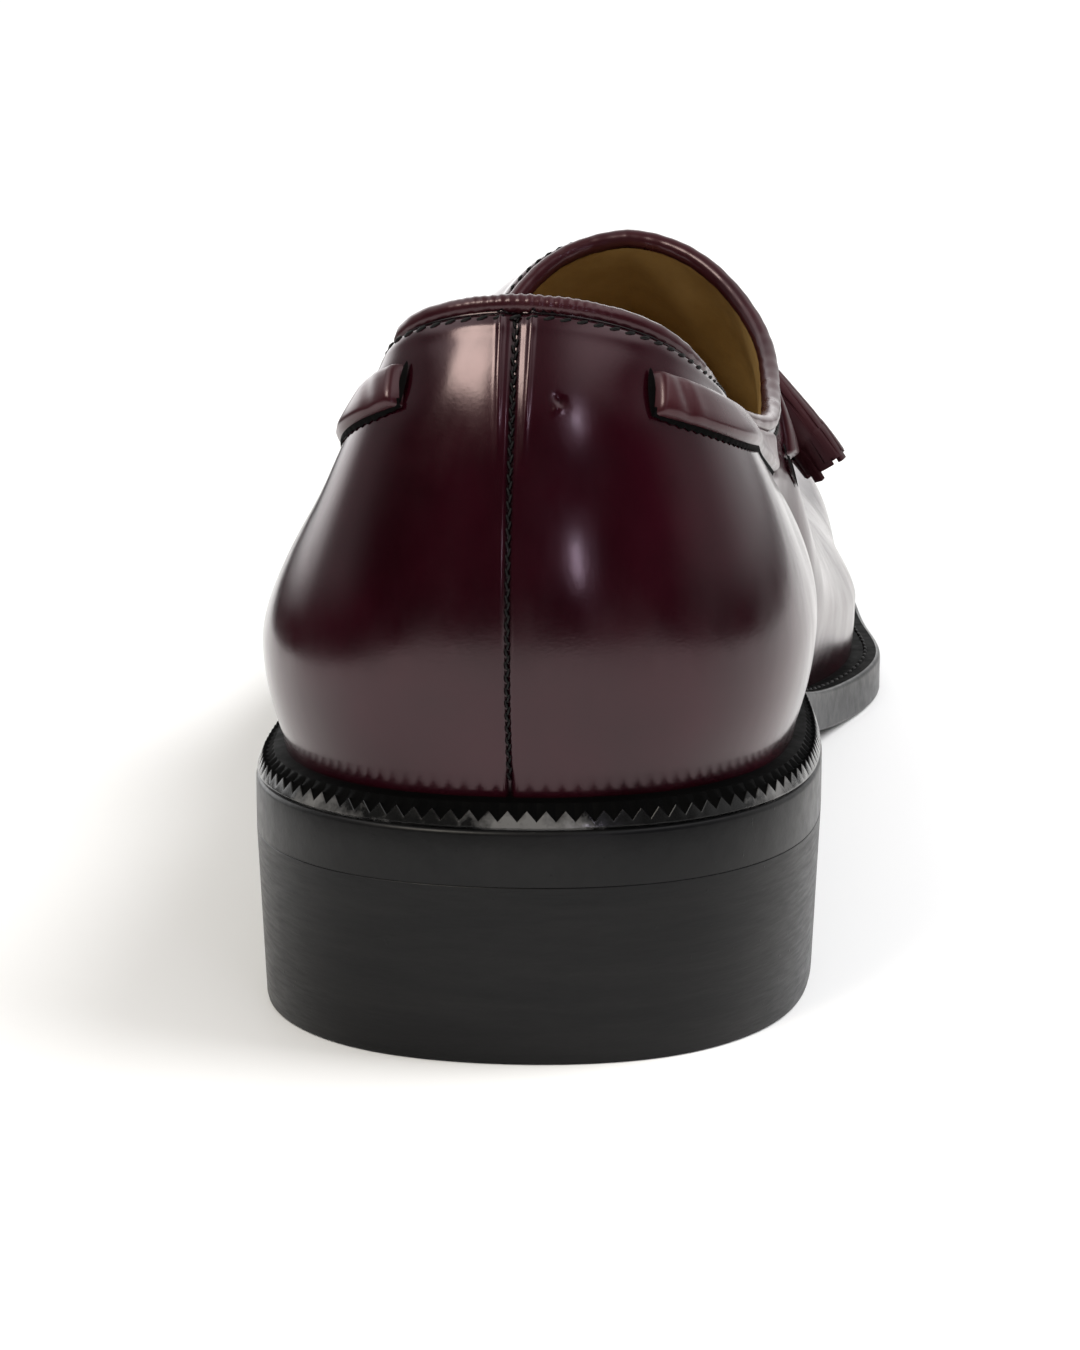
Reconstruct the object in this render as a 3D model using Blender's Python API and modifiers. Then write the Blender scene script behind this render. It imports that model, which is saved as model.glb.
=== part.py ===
"""Left tassel loafer, standing empty on its sole.

Metres, +Z up. The toe points along +Y and the medial side is +X.
Everything is laid out from the outsole's rearmost point on the ground, and the
finished shoe hangs from an empty that puts the middle of the heel at the origin.
"""
from collections import namedtuple

import bpy
import bmesh
import numpy as np

# Lasted sizes
LENGTH = 0.303
BALL_WIDTH = 0.1015
HEEL_WIDTH = 0.0688
TOPLINE_HEIGHT = 0.0855
OPENING_WIDTH = 0.0455
SIDE_BULGE = 0.0072
CREST_OFFSET = 0.0049
TOE_SPRING = 0.0085
TOE_SWING = 0.003
WALL = 0.0022

# Bottom
HEEL_HEIGHT = 0.0212
HEEL_LENGTH = 0.074
HEEL_TAPER = 0.0009
HEEL_CENTRE = 0.032
BREAST_RADIUS = 0.070
BREAST_HOLLOW = 0.0045
SOLE_THICKNESS = 0.0066
SOLE_ROUNDING = 0.0007
WELT_WIDTH = 0.0050
RAND_HEIGHT = 0.0033
RAND_END = 0.095
RAND_RUN = 0.055
RAND_FACE = 0.0021
TOOTH_PITCH = 0.0022
TOOTH_HEIGHT = 0.0012
INSOLE_THICKNESS = 0.0025
INSOLE_CLEARANCE = 0.0012
FIT = 0.0003

# Trim
BEAD_RADIUS = 0.0011
STRAP_WIDTH = 0.0055
STRAP_THICKNESS = 0.0014
SEAM_RISE = 0.0010
SEAM_WIDTH = 0.0030
KNOT_WIDTH = 0.0130
KNOT_LENGTH = 0.0125
KNOT_THICKNESS = 0.0046
TASSEL_LENGTH = 0.036
TASSEL_CAP_LENGTH = 0.010
TASSEL_CAP_WIDTH = 0.0074
TASSEL_END_WIDTH = 0.0105
TASSEL_THICKNESS = 0.0046

# Stations along the length where the form changes, as shares of it
SEAT_END = 0.19
TREAD_START = 0.67
TREAD_END = 0.745

# The outsole's edge: place along, then medial and lateral half-widths as shares of the
# width there, and the ledge outside the upper as a share of the welt's width.
Edge = namedtuple("Edge", "station along medial lateral ledge")
OUTLINE = [
    Edge("heel curve", 0.018, 0.290, 0.295, 0.80),
    Edge("heel side", 0.060, 0.445, 0.445, 0.76),
    Edge("seat", 0.130, 0.505, 0.495, 0.68),
    Edge("breast", 0.230, 0.478, 0.495, 0.64),
    Edge("waist", 0.370, 0.356, 0.452, 0.54),
    Edge("arch", 0.480, 0.318, 0.468, 0.64),
    Edge("outer ball", 0.590, 0.372, 0.526, 0.92),
    Edge("inner ball", 0.680, 0.428, 0.534, 1.00),
    Edge("tread front", 0.780, 0.402, 0.500, 1.00),
    Edge("toe shoulder", 0.885, 0.362, 0.414, 0.96),
    Edge("toe curve", 0.960, 0.252, 0.256, 0.92),
]

# The last, a row for each section. base is where it leaves the sole, as a share of the edge
# from heel to toe. bulge_in and bulge_out are shares of the side bulge, widest and height are
# shares of the topline's height, wall and crown are handle lengths, along is where it ends.
Section = namedtuple("Section", "name base bulge_in bulge_out widest wall crown along height")
SECTIONS = [
    Section("back seam", 0.000, 0.39, 0.39, 0.172, 0.42, 0.32, 0.042, 0.997),
    Section("counter", 0.060, 0.37, 0.38, 0.150, 0.34, 0.33, 0.054, 0.963),
    Section("counter side", 0.120, 0.35, 0.37, 0.140, 0.27, 0.33, 0.085, 0.898),
    Section("heel side", 0.190, 0.38, 0.38, 0.150, 0.26, 0.32, 0.134, 0.850),
    Section("ankle", 0.270, 0.56, 0.41, 0.177, 0.31, 0.31, 0.201, 0.782),
    Section("low point", 0.345, 0.85, 0.43, 0.206, 0.35, 0.30, 0.279, 0.723),
    Section("quarter", 0.405, 1.00, 0.43, 0.225, 0.37, 0.31, 0.350, 0.748),
    Section("throat side", 0.450, 1.03, 0.42, 0.225, 0.36, 0.31, 0.399, 0.828),
    Section("throat corner", 0.485, 0.98, 0.42, 0.206, 0.33, 0.30, 0.428, 0.938),
    Section("throat", 0.515, 0.88, 0.41, 0.177, 0.27, 0.30, 0.439, 0.980),
    Section("instep", 0.560, 0.64, 0.37, 0.144, 0.20, 0.32, 0.495, 0.870),
    Section("vamp", 0.620, 0.25, 0.31, 0.116, 0.16, 0.35, 0.575, 0.709),
    Section("ball", 0.690, 0.09, 0.23, 0.110, 0.18, 0.39, 0.660, 0.596),
    Section("tread", 0.765, 0.05, 0.19, 0.120, 0.28, 0.46, 0.745, 0.533),
    Section("toe box", 0.840, 0.12, 0.19, 0.138, 0.43, 0.53, 0.825, 0.504),
    Section("toe shoulder", 0.915, 0.18, 0.19, 0.143, 0.54, 0.58, 0.885, 0.482),
    Section("toe tip", 1.000, 0.19, 0.19, 0.140, 0.58, 0.60, 0.922, 0.462),
]
THROAT = 9
TOE = 16
ROLL = 0.22

# The same sections as far as the throat: the opening's half-widths as shares of its width,
# and the lean of the wall at its edge in degrees.
Collar = namedtuple("Collar", "name medial lateral lean")
COLLAR = [
    Collar("back seam", 0.000, 0.000, 36),
    Collar("counter", 0.320, 0.290, 39),
    Collar("counter side", 0.442, 0.344, 39),
    Collar("heel side", 0.443, 0.370, 37),
    Collar("ankle", 0.452, 0.426, 35),
    Collar("low point", 0.520, 0.478, 35),
    Collar("quarter", 0.509, 0.490, 38),
    Collar("throat side", 0.455, 0.428, 48),
    Collar("throat corner", 0.268, 0.268, 66),
    Collar("throat", 0.000, 0.000, 76),
]

# The crest of the foot stands to the medial side, by shares of the crest offset.
Crest = namedtuple("Crest", "along across")
CREST = [
    Crest(0.40, 1.00), Crest(0.50, 0.84), Crest(0.62, 0.65), Crest(0.75, 0.57), Crest(1.00, 0.61),
]

# The raised apron seam: section, height up it, and share of its full rise.
Seam = namedtuple("Seam", "section up rise")
APRON = [
    Seam(9.3, 0.71, 0.0), Seam(10.2, 0.66, 1.0), Seam(11.3, 0.62, 1.0), Seam(12.8, 0.60, 1.0),
    Seam(14.4, 0.61, 1.0), Seam(16.0, 0.635, 1.0),
]

# The lace, where it lies outside: sections and heights from a slit to the next slit, or to
# the knot. knot is the place along the knot's side, from -1 at its rear to 1 at its front.
Lace = namedtuple("Lace", "name sections up knot")
LACES = [
    Lace("lace_medial_rear", (0.95, 2.00, 3.30, 4.75), (0.820, 0.830, 0.836, 0.822), None),
    Lace("lace_lateral_rear", (-0.80, -2.00, -3.30, -4.75), (0.822, 0.806, 0.812, 0.835), None),
    Lace("lace_medial_front", (7.70, 8.35, 8.95), (0.470, 0.600, 0.720), -0.35),
    Lace("lace_lateral_front", (-7.70, -8.35, -8.95), (0.470, 0.590, 0.690), -0.35),
]
KNOT_SECTION = 9.95

# Each tassel's path from its place at the knot's side: sections, heights up them, and how far
# its middle stands off the leather as shares of its thickness.
Tassel = namedtuple("Tassel", "name knot sections up lift")
TASSELS = [
    Tassel("tassel_medial", 0.40, (9.79, 9.66, 9.47, 9.23), (0.764, 0.668, 0.569, 0.466),
           (0.45, 0.66, 0.74, 0.92, 1.25)),
    Tassel("tassel_lateral", 0.50, (-9.98, -10.01, -10.03, -10.03), (0.838, 0.763, 0.690, 0.618),
           (0.45, 0.66, 0.70, 0.76, 0.84)),
]
FRINGE_STRIPS = 9

# Sections at which the upper and its topline bead are drawn
COLUMNS = np.concatenate([
    np.linspace(0, 2.4, 9), np.linspace(2.88, 7.2, 10), np.linspace(7.6, 9, 5),
    np.linspace(9.35, 10.4, 4), [11, 11.8, 12.6, 13.4, 14.1, 14.7, 15.2, 15.6, 16],
])
COLUMNS = np.concatenate([-COLUMNS[::-1], COLUMNS[1:]])


def ease(t):
    t = np.clip(t, 0, 1)
    return t**3 * (t * (6 * t - 15) + 10)


def spline(xs, rows, ends="free"):
    """Smooth curve through the rows at xs; its ends are free, flat or joined."""
    xs, rows = np.asarray(xs, float), np.asarray(rows, float)
    n, h = len(xs), np.diff(xs)
    slope = np.diff(rows, axis=0) / h[:, None]
    a, b = np.zeros((n, n)), np.zeros((n, rows.shape[1]))
    for i in range(1, n - 1):
        a[i, i - 1:i + 2] = h[i - 1], 2 * (h[i - 1] + h[i]), h[i]
        b[i] = 6 * (slope[i] - slope[i - 1])
    if ends == "joined":
        a[0, 0], a[0, 1], a[0, n - 2] = 2 * (h[0] + h[-1]), h[0], h[-1]
        b[0] = 6 * (slope[0] - slope[-1])
        a[-1, 0], a[-1, -1] = 1, -1
    elif ends == "flat":
        a[0, :2], b[0] = (2 * h[0], h[0]), 6 * slope[0]
        a[-1, -2:], b[-1] = (h[-1], 2 * h[-1]), -6 * slope[-1]
    else:
        a[0, 0] = a[-1, -1] = 1
    m = np.linalg.solve(a, b)

    def curve(x):
        x = np.atleast_1d(np.asarray(x, float))
        if ends == "joined":
            x = xs[0] + (x - xs[0]) % (xs[-1] - xs[0])
        k = np.clip(np.searchsorted(xs, x, side="right") - 1, 0, n - 2)
        w, p, q = h[k][:, None], (x - xs[k])[:, None], (xs[k + 1] - x)[:, None]
        bend = (m[k] * q**3 + m[k + 1] * p**3) / (6 * w)
        return bend + (rows[k] / w - m[k] * w / 6) * q + (rows[k + 1] / w - m[k + 1] * w / 6) * p

    return curve


def unit(a):
    return a / np.maximum(np.linalg.norm(a, axis=-1, keepdims=True), 1e-12)


def underside(y):
    a = y / LENGTH
    rise = HEEL_HEIGHT * ease((TREAD_START - a) / (TREAD_START - SEAT_END))
    return rise + TOE_SPRING * (np.clip(a - TREAD_END, 0, None) / (1 - TREAD_END)) ** 2


def rand_at(y):
    return RAND_HEIGHT * ease(0.35 + (RAND_END - y) / RAND_RUN)


def feather_height(y):
    return underside(y) + SOLE_THICKNESS + rand_at(y)


def width_at(along):
    return HEEL_WIDTH + (BALL_WIDTH - HEEL_WIDTH) * ease((along - SEAT_END) / 0.41)


def outline_curve():
    """Closed curve round the outsole, its running length, and that length at the toe."""
    out = [(0, 0, OUTLINE[0].ledge)]
    out += [(r.medial * width_at(r.along), r.along * LENGTH, r.ledge) for r in OUTLINE]
    out += [(TOE_SWING, LENGTH, OUTLINE[-1].ledge)]
    toe = len(out) - 1
    out += [(-r.lateral * width_at(r.along), r.along * LENGTH, r.ledge) for r in reversed(OUTLINE)]
    out = np.array(out + out[:1])
    chord = np.append(0, np.cumsum(np.linalg.norm(np.diff(out[:, :2], axis=0), axis=1)))
    curve = spline(chord, out, "joined")
    at = np.linspace(0, chord[-1], 2001)
    run = np.append(0, np.cumsum(np.linalg.norm(np.diff(curve(at)[:, :2], axis=0), axis=1)))
    return curve, at, run, np.interp(chord[toe], at, run)


EDGE, EDGE_AT, EDGE_RUN, EDGE_TOE = outline_curve()


def sole_edge(c):
    """Point, outward direction and ledge of the outsole's edge. c runs from 0 at the heel
    to 1 at the toe, negative on the lateral side."""
    c = np.atleast_1d(np.asarray(c, float))
    run = np.where(c >= 0, c * EDGE_TOE, EDGE_RUN[-1] + c * (EDGE_RUN[-1] - EDGE_TOE))
    t = np.interp(run, EDGE_RUN, EDGE_AT)
    p = EDGE(t)
    d = unit(EDGE(t + 1e-5)[:, :2] - EDGE(t - 1e-5)[:, :2])
    return p[:, :2], np.stack([d[:, 1], -d[:, 0]], -1), p[:, 2] * WELT_WIDTH


ROWS = np.arange(len(SECTIONS))
FOOT = spline(ROWS, [s[1:7] for s in SECTIONS])
TOP_REAR = spline(ROWS[:THROAT + 1], [s[7:9] for s in SECTIONS[:THROAT + 1]], "flat")
TOP_FRONT = spline(ROWS[THROAT:], [s[7:9] for s in SECTIONS[THROAT:]])
OPENING = spline(ROWS[:THROAT + 1], [s[1:4] for s in COLLAR])
CREST_LINE = spline([r.along for r in CREST], [[r.across] for r in CREST])


def section_points(u):
    """The five shaping points of each section; u is its row, negative on the lateral side."""
    row, side = np.abs(u), np.where(u >= 0, 1.0, -1.0)
    base, bulge_in, bulge_out, widest, wall, crown = FOOT(row).T
    xy, out, ledge = sole_edge(side * np.clip(base, 0, 1))
    foot = xy - out * ledge[:, None]
    rear = row <= THROAT
    behind, ahead = np.minimum(row, THROAT), np.maximum(row, THROAT)
    along, height = np.where(rear[:, None], TOP_REAR(behind), TOP_FRONT(ahead)).T
    medial, lateral, lean = OPENING(behind).T
    half = OPENING_WIDTH * np.where(rear, np.where(side > 0, medial, lateral), 0)
    crest_x = CREST_OFFSET * CREST_LINE(along)[:, 0] * ease(row / THROAT)
    top = np.stack([crest_x + side * half, along * LENGTH, height * TOPLINE_HEIGHT], -1)
    way = unit(top[:, :2] - foot)
    near, far = TOP_FRONT(np.clip(ahead - 0.01, THROAT, TOE)), TOP_FRONT(np.clip(ahead + 0.01, THROAT, TOE))
    fall = (far - near)[:, 1] * TOPLINE_HEIGHT / ((far - near)[:, 0] * LENGTH)
    lean = np.radians(lean)[:, None]
    edge = np.concatenate([way * np.sin(lean), np.cos(lean)], 1)
    crest = unit(np.concatenate([way, (fall * way[:, 1])[:, None]], 1))
    share = ease((row - THROAT + 2) / 2)[:, None]
    end = unit(edge * (1 - share) + crest * share)
    low = feather_height(foot[:, 1]) + FIT
    bulge = SIDE_BULGE * np.where(side > 0, bulge_in, bulge_out)
    feather = np.concatenate([foot, low[:, None]], 1)
    side_point = np.concatenate([foot - way * bulge[:, None], (low + widest * TOPLINE_HEIGHT)[:, None]], 1)
    span = top - side_point
    pull = crown * np.hypot(np.linalg.norm(span[:, :2], axis=1) * np.linalg.norm(end[:, :2], axis=1),
                            span[:, 2] * end[:, 2])
    upright = side_point + np.array([0, 0, 1]) * (wall * span[:, 2])[:, None]
    return feather, side_point, upright, top - end * pull[:, None], top


def section_curve(u, v):
    u = np.where(np.abs(u) > TOE, u - 2 * TOE * np.sign(u), u)
    feather, p0, p1, p2, p3 = section_points(u)
    v = v[:, None]
    roll = np.clip(v / ROLL, 0, 1)
    low = feather + (p0 - feather) * np.concatenate([np.sin(roll * np.pi / 2)] * 2 + [roll], 1)
    t = np.clip((v - ROLL) / (1 - ROLL), 0, 1)
    high = (1 - t)**3 * p0 + 3 * (1 - t)**2 * t * p1 + 3 * (1 - t) * t**2 * p2 + t**3 * p3
    return np.where(v < ROLL, low, high)


def last(u, v):
    """Outer face of the upper. u is the section, v runs from 0 at the sole to 1 at the top.
    Neighbouring sections are blended, most at the throat and least towards the top edge."""
    u, v = np.broadcast_arrays(np.asarray(u, float), np.asarray(v, float))
    shape, u, v = u.shape, u.ravel(), v.ravel()
    spread = (0.3 + 0.8 * np.exp(-((np.abs(u) - THROAT) / 2)**2)) * np.clip(v * 6, 0, 1) * (1 - v)**0.7
    mix = [(0.0, 0.20), (0.33, 0.18), (0.66, 0.16), (1.0, 0.06)]
    out = mix[0][1] * section_curve(u, v)
    for step, weight in mix[1:]:
        out += weight * (section_curve(u + step * spread, v) + section_curve(u - step * spread, v))
    return out.reshape(shape + (3,))


def slopes(u, v):
    """Directions along u and along v, and the outward normal."""
    u, v = np.broadcast_arrays(np.asarray(u, float), np.asarray(v, float))
    along_u = last(u + 0.01, v) - last(u - 0.01, v)
    up, down = np.minimum(v + 0.004, 1), np.maximum(v - 0.004, 0)
    along_v = (last(u, up) - last(u, down)) / (up - down)[..., None]
    return along_u / 0.02, along_v, unit(np.cross(along_u, along_v))


def off(u, v, lift):
    """Point that stands off the leather by lift."""
    return last(u, v) + slopes(u, v)[2] * np.asarray(lift)[..., None]


def aside(u, v, way, distance):
    """Section and height of the point that lies a distance away along the leather."""
    du, dv, _ = slopes(u, v)
    a, b, c = (du * du).sum(-1), (du * dv).sum(-1), (dv * dv).sum(-1)
    p, q = (du * way).sum(-1) * distance, (dv * way).sum(-1) * distance
    det = a * c - b * b
    return u + (p * c - q * b) / det, v + (q * a - p * b) / det


def walk(u, v, way, distance):
    """Follow the leather from a point in a given direction, a little at a time."""
    for _ in range(4):
        u, v = aside(u, v, way, distance / 4)
        v = np.minimum(v, 1)
    return u, v


def from_crest(share, distance):
    """Section and height at a place on the knot's seat: share runs along the crest, and
    distance goes to the medial side, or to the lateral side if it is negative."""
    step = np.linalg.norm(slopes(KNOT_SECTION, 1.0)[0])
    side = np.where(distance >= 0, 1.0, -1.0)
    u = side * (KNOT_SECTION + share * KNOT_LENGTH / 2 / step)
    way = np.stack([side, 0 * side, 0 * side], -1)
    return walk(u, np.ones_like(u), way, np.abs(distance))


def beside_knot(side, share, gap):
    u, v = from_crest(share, np.array([side * (KNOT_WIDTH / 2 + gap)]))
    return u[0], v[0]


def material(name, colour, roughness):
    m = bpy.data.materials.new(name)
    m.use_nodes = True
    shader = m.node_tree.nodes["Principled BSDF"]
    shader.inputs["Base Color"].default_value = (*colour, 1)
    shader.inputs["Roughness"].default_value = roughness
    shader.inputs["Metallic"].default_value = 0
    m.diffuse_color = (*colour, 1)
    return m


def finish(name, mesh, look, angle=38):
    mesh.materials.append(look)
    mesh.shade_smooth()
    mesh.set_sharp_from_angle(angle=np.radians(angle))
    thing = bpy.data.objects.new(name, mesh)
    parts.objects.link(thing)
    thing.parent = shoe
    return thing


def skin(name, points, look, loop=False):
    """Open surface through a grid of points; coinciding points are merged."""
    n, m = points.shape[:2]
    work = bmesh.new()
    spots = [[work.verts.new(p) for p in row] for row in points]
    for i in range(n if loop else n - 1):
        a, b = spots[i], spots[(i + 1) % n]
        for j in range(m - 1):
            work.faces.new((a[j], b[j], b[j + 1], a[j + 1]))
    bmesh.ops.remove_doubles(work, verts=work.verts, dist=1e-6)
    mesh = bpy.data.meshes.new(name)
    work.to_mesh(mesh)
    work.free()
    return finish(name, mesh, look)


def stack(name, rings, look, angle=38):
    """Solid through a stack of outlines. Each runs from the lateral front round the heel to
    the medial front, and its ends are closed by rungs across."""
    k, n = rings.shape[:2]
    work = bmesh.new()
    spots = [[work.verts.new(p) for p in ring] for ring in rings]
    for low, high in zip(spots, spots[1:]):
        for i in range(n):
            work.faces.new((low[i - 1], low[i], high[i], high[i - 1]))
    for ring in (spots[0], spots[-1]):
        for i in range(n // 2):
            corners = (ring[i], ring[i + 1], ring[n - 2 - i], ring[n - 1 - i])
            work.faces.new(corners if i + 1 < n - 2 - i else (ring[i], ring[i + 1], ring[n - 1 - i]))
    bmesh.ops.remove_doubles(work, verts=work.verts, dist=1e-6)
    bmesh.ops.recalc_face_normals(work, faces=work.faces)
    mesh = bpy.data.meshes.new(name)
    work.to_mesh(mesh)
    work.free()
    return finish(name, mesh, look, angle)


def tube(name, points, radius, look):
    """Closed round bead along the points."""
    curve = bpy.data.curves.new(name, "CURVE")
    curve.dimensions = "3D"
    line = curve.splines.new("POLY")
    line.points.add(len(points) - 1)
    for spot, p in zip(line.points, points):
        spot.co = (*p, 1)
    line.use_cyclic_u = True
    line.use_smooth = True
    curve.bevel_depth = radius
    curve.bevel_resolution = 2
    curve.materials.append(look)
    thing = bpy.data.objects.new(name, curve)
    parts.objects.link(thing)
    thing.parent = shoe
    return thing


def add_solidify(thing, thickness, offset):
    m = thing.modifiers.new("wall", "SOLIDIFY")
    m.thickness = thickness
    m.offset = offset


def add_bevel(thing, width, segments=1):
    m = thing.modifiers.new("rounded edges", "BEVEL")
    m.width = width
    m.segments = segments
    m.limit_method = "ANGLE"
    m.angle_limit = np.radians(40)


def edge_run(y_end, count):
    """Edge positions from the lateral side at y_end round the heel to the medial side."""
    c = np.linspace(0, 1, 801)
    ends = [np.interp(y_end, sole_edge(side * c)[0][:, 1], c) for side in (1, -1)]
    share = np.linspace(0, 1, count + 1)
    return np.concatenate([-share[::-1] * ends[1], share[1:] * ends[0]])


def edge_ring(c, inset, height):
    """Ring inside the sole's edge; height is a function of how far along it is."""
    xy, out, _ = sole_edge(c)
    xy = xy - out * np.broadcast_to(inset, c.shape)[:, None]
    return np.concatenate([xy, height(xy[:, 1])[:, None]], 1)


def make_outsole():
    c = edge_run(LENGTH, 44)
    r = SOLE_ROUNDING
    rings = [(r, 0), (0, r), (0, SOLE_THICKNESS - r), (r, SOLE_THICKNESS)]
    return stack("outsole", np.array([edge_ring(c, i, lambda y, z=z: underside(y) + z) for i, z in rings]),
                 sole_black, 50)


def make_heel():
    c = edge_run(HEEL_LENGTH + BREAST_HOLLOW, 22)
    r = SOLE_ROUNDING
    rings = [(HEEL_TAPER + r / 2, lambda y: 0 * y), (HEEL_TAPER, lambda y: 0 * y + r / 2),
             (0, lambda y: underside(y) - FIT - r), (r, lambda y: underside(y) - FIT)]
    heel = stack("heel", np.array([edge_ring(c, i, z) for i, z in rings]), heel_black, 30)
    bpy.ops.mesh.primitive_cylinder_add(vertices=96, radius=BREAST_RADIUS, depth=4 * HEEL_HEIGHT,
                                        location=(0, HEEL_LENGTH + BREAST_RADIUS - BREAST_HOLLOW, HEEL_HEIGHT / 2))
    cutter = bpy.context.object
    cutter.name = "breast_cutter"
    cutter.parent = shoe
    cutter.hide_render = True
    cutter.display_type = "WIRE"
    for owner in cutter.users_collection:
        owner.objects.unlink(cutter)
    cutters.objects.link(cutter)
    cut = heel.modifiers.new("hollow breast", "BOOLEAN")
    cut.operation = "DIFFERENCE"
    cut.solver = "EXACT"
    cut.object = cutter
    return heel


def make_heel_rand():
    """Wheeled strip round the heel seat: its outer face ends in teeth that point up, and each
    notch between them slopes in to the ledge, which rises from the tips to the upper."""
    length = EDGE_TOE * edge_run(RAND_END, 2)[-1]
    c = edge_run(RAND_END, int(round(length / TOOTH_PITCH)) * 2)
    tip = (np.arange(len(c)) % 2 == 0).astype(float)
    r = SOLE_ROUNDING / 3
    xy, out, ledge = sole_edge(c)
    y = xy[:, 1]
    base = underside(y) + SOLE_THICKNESS + FIT
    share = rand_at(y) / RAND_HEIGHT
    face = base + (RAND_FACE - FIT) * share
    depth = TOOTH_HEIGHT * (1 - tip) * share
    rings = [(r + 0 * y, base), (r + 0 * y, face - r * share - depth), (3 * r + 0.9 * depth, face),
             (ledge, base - FIT + rand_at(y))]
    points = [np.concatenate([xy - out * i[:, None], z[:, None]], 1) for i, z in rings]
    return stack("heel_rand", np.array(points), sole_black, 20)


def make_insole():
    c = edge_run(LENGTH, 44)
    ledge = sole_edge(c)[2]
    r = SOLE_ROUNDING
    inset = ledge + WALL + INSOLE_CLEARANCE
    rings = [(r, FIT), (0, FIT + r), (0, FIT + INSOLE_THICKNESS - r), (r, FIT + INSOLE_THICKNESS)]
    return stack("insole", np.array([edge_ring(c, inset + i, lambda y, z=z: feather_height(y) + z)
                                     for i, z in rings]), lining_tan, 50)


def make_upper():
    """One lofted skin from the feather edge to the topline and the crest, with the apron seam
    as a ridge along one of its rows, then given its wall."""
    u = COLUMNS
    seam = spline([s.section for s in APRON], [s[1:] for s in APRON])
    first = APRON[0].section
    up, rise = np.where((np.abs(u) < first)[:, None], [APRON[0].up, 0], seam(np.maximum(np.abs(u), first))).T
    rise = np.clip(rise, 0, 1) * SEAM_RISE
    half = SEAM_WIDTH / 2 / np.linalg.norm(slopes(u, up)[1], axis=-1)
    lower = [0, 0.08, 0.16, 0.25, 0.36, 0.48, 0.62, 0.78, 0.92]
    upper_rows = [0.12, 0.34, 0.58, 0.80, 0.95, 1]
    v = [s * (up - half) for s in lower] + [up - half, up, up + half]
    v += [up + half + s * (1 - up - half) for s in upper_rows]
    v = np.array(v).T
    lift = np.zeros_like(v)
    lift[:, len(lower) + 1] = rise
    points = off(u[:, None] + 0 * v, v, lift)
    points[:, 0] = last(u, 0)
    points[:, -1] = last(u, 1)
    thing = skin("upper", points, leather)
    add_solidify(thing, WALL, -1)
    return thing


def make_topline_bead():
    u = COLUMNS[np.abs(COLUMNS) <= THROAT][1:]
    line = last(u, 1)
    around = unit(np.gradient(line, axis=0))
    _, up, out = slopes(u, 1.0)
    up = unit(up - around * (up * around).sum(-1, keepdims=True))
    middle = line - out * WALL / 2 + up * (BEAD_RADIUS + 2 * FIT)
    return tube("topline_bead", middle, BEAD_RADIUS, leather)


def ribbon(u, v, width, lift, columns=3):
    """Grid of points across a band that lies on the leather."""
    way = unit(np.gradient(last(u, v), axis=0))
    across = np.cross(slopes(u, v)[2], way)
    rows = [walk(u, v, across, s * width / 2) for s in np.linspace(-1, 1, columns)]
    return np.stack([off(a, b, lift + 0 * a) for a, b in rows], 1)


def make_lace(row):
    spots = list(zip(row.sections, row.up))
    if row.knot is not None:
        spots.append(beside_knot(np.sign(row.sections[0]), row.knot, 3 * FIT))
    path = spline(np.linspace(0, 1, len(spots)), spots)
    u, v = path(np.linspace(0, 1, 16 if row.knot is None else 10)).T
    thing = skin(row.name, ribbon(u, v, STRAP_WIDTH, FIT), leather)
    add_solidify(thing, STRAP_THICKNESS, 1)
    add_bevel(thing, STRAP_THICKNESS / 4)
    return thing


def make_knot():
    """Pad of lace tied over the crest."""
    turn = np.linspace(1, -1, 7) * KNOT_WIDTH / 2
    points = [off(*from_crest(share, turn), FIT + 0 * turn) for share in np.linspace(-1, 1, 5)]
    thing = skin("knot", np.array(points), leather)
    add_solidify(thing, KNOT_THICKNESS, 1)
    add_bevel(thing, KNOT_THICKNESS / 3.2, 2)
    return thing


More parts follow.
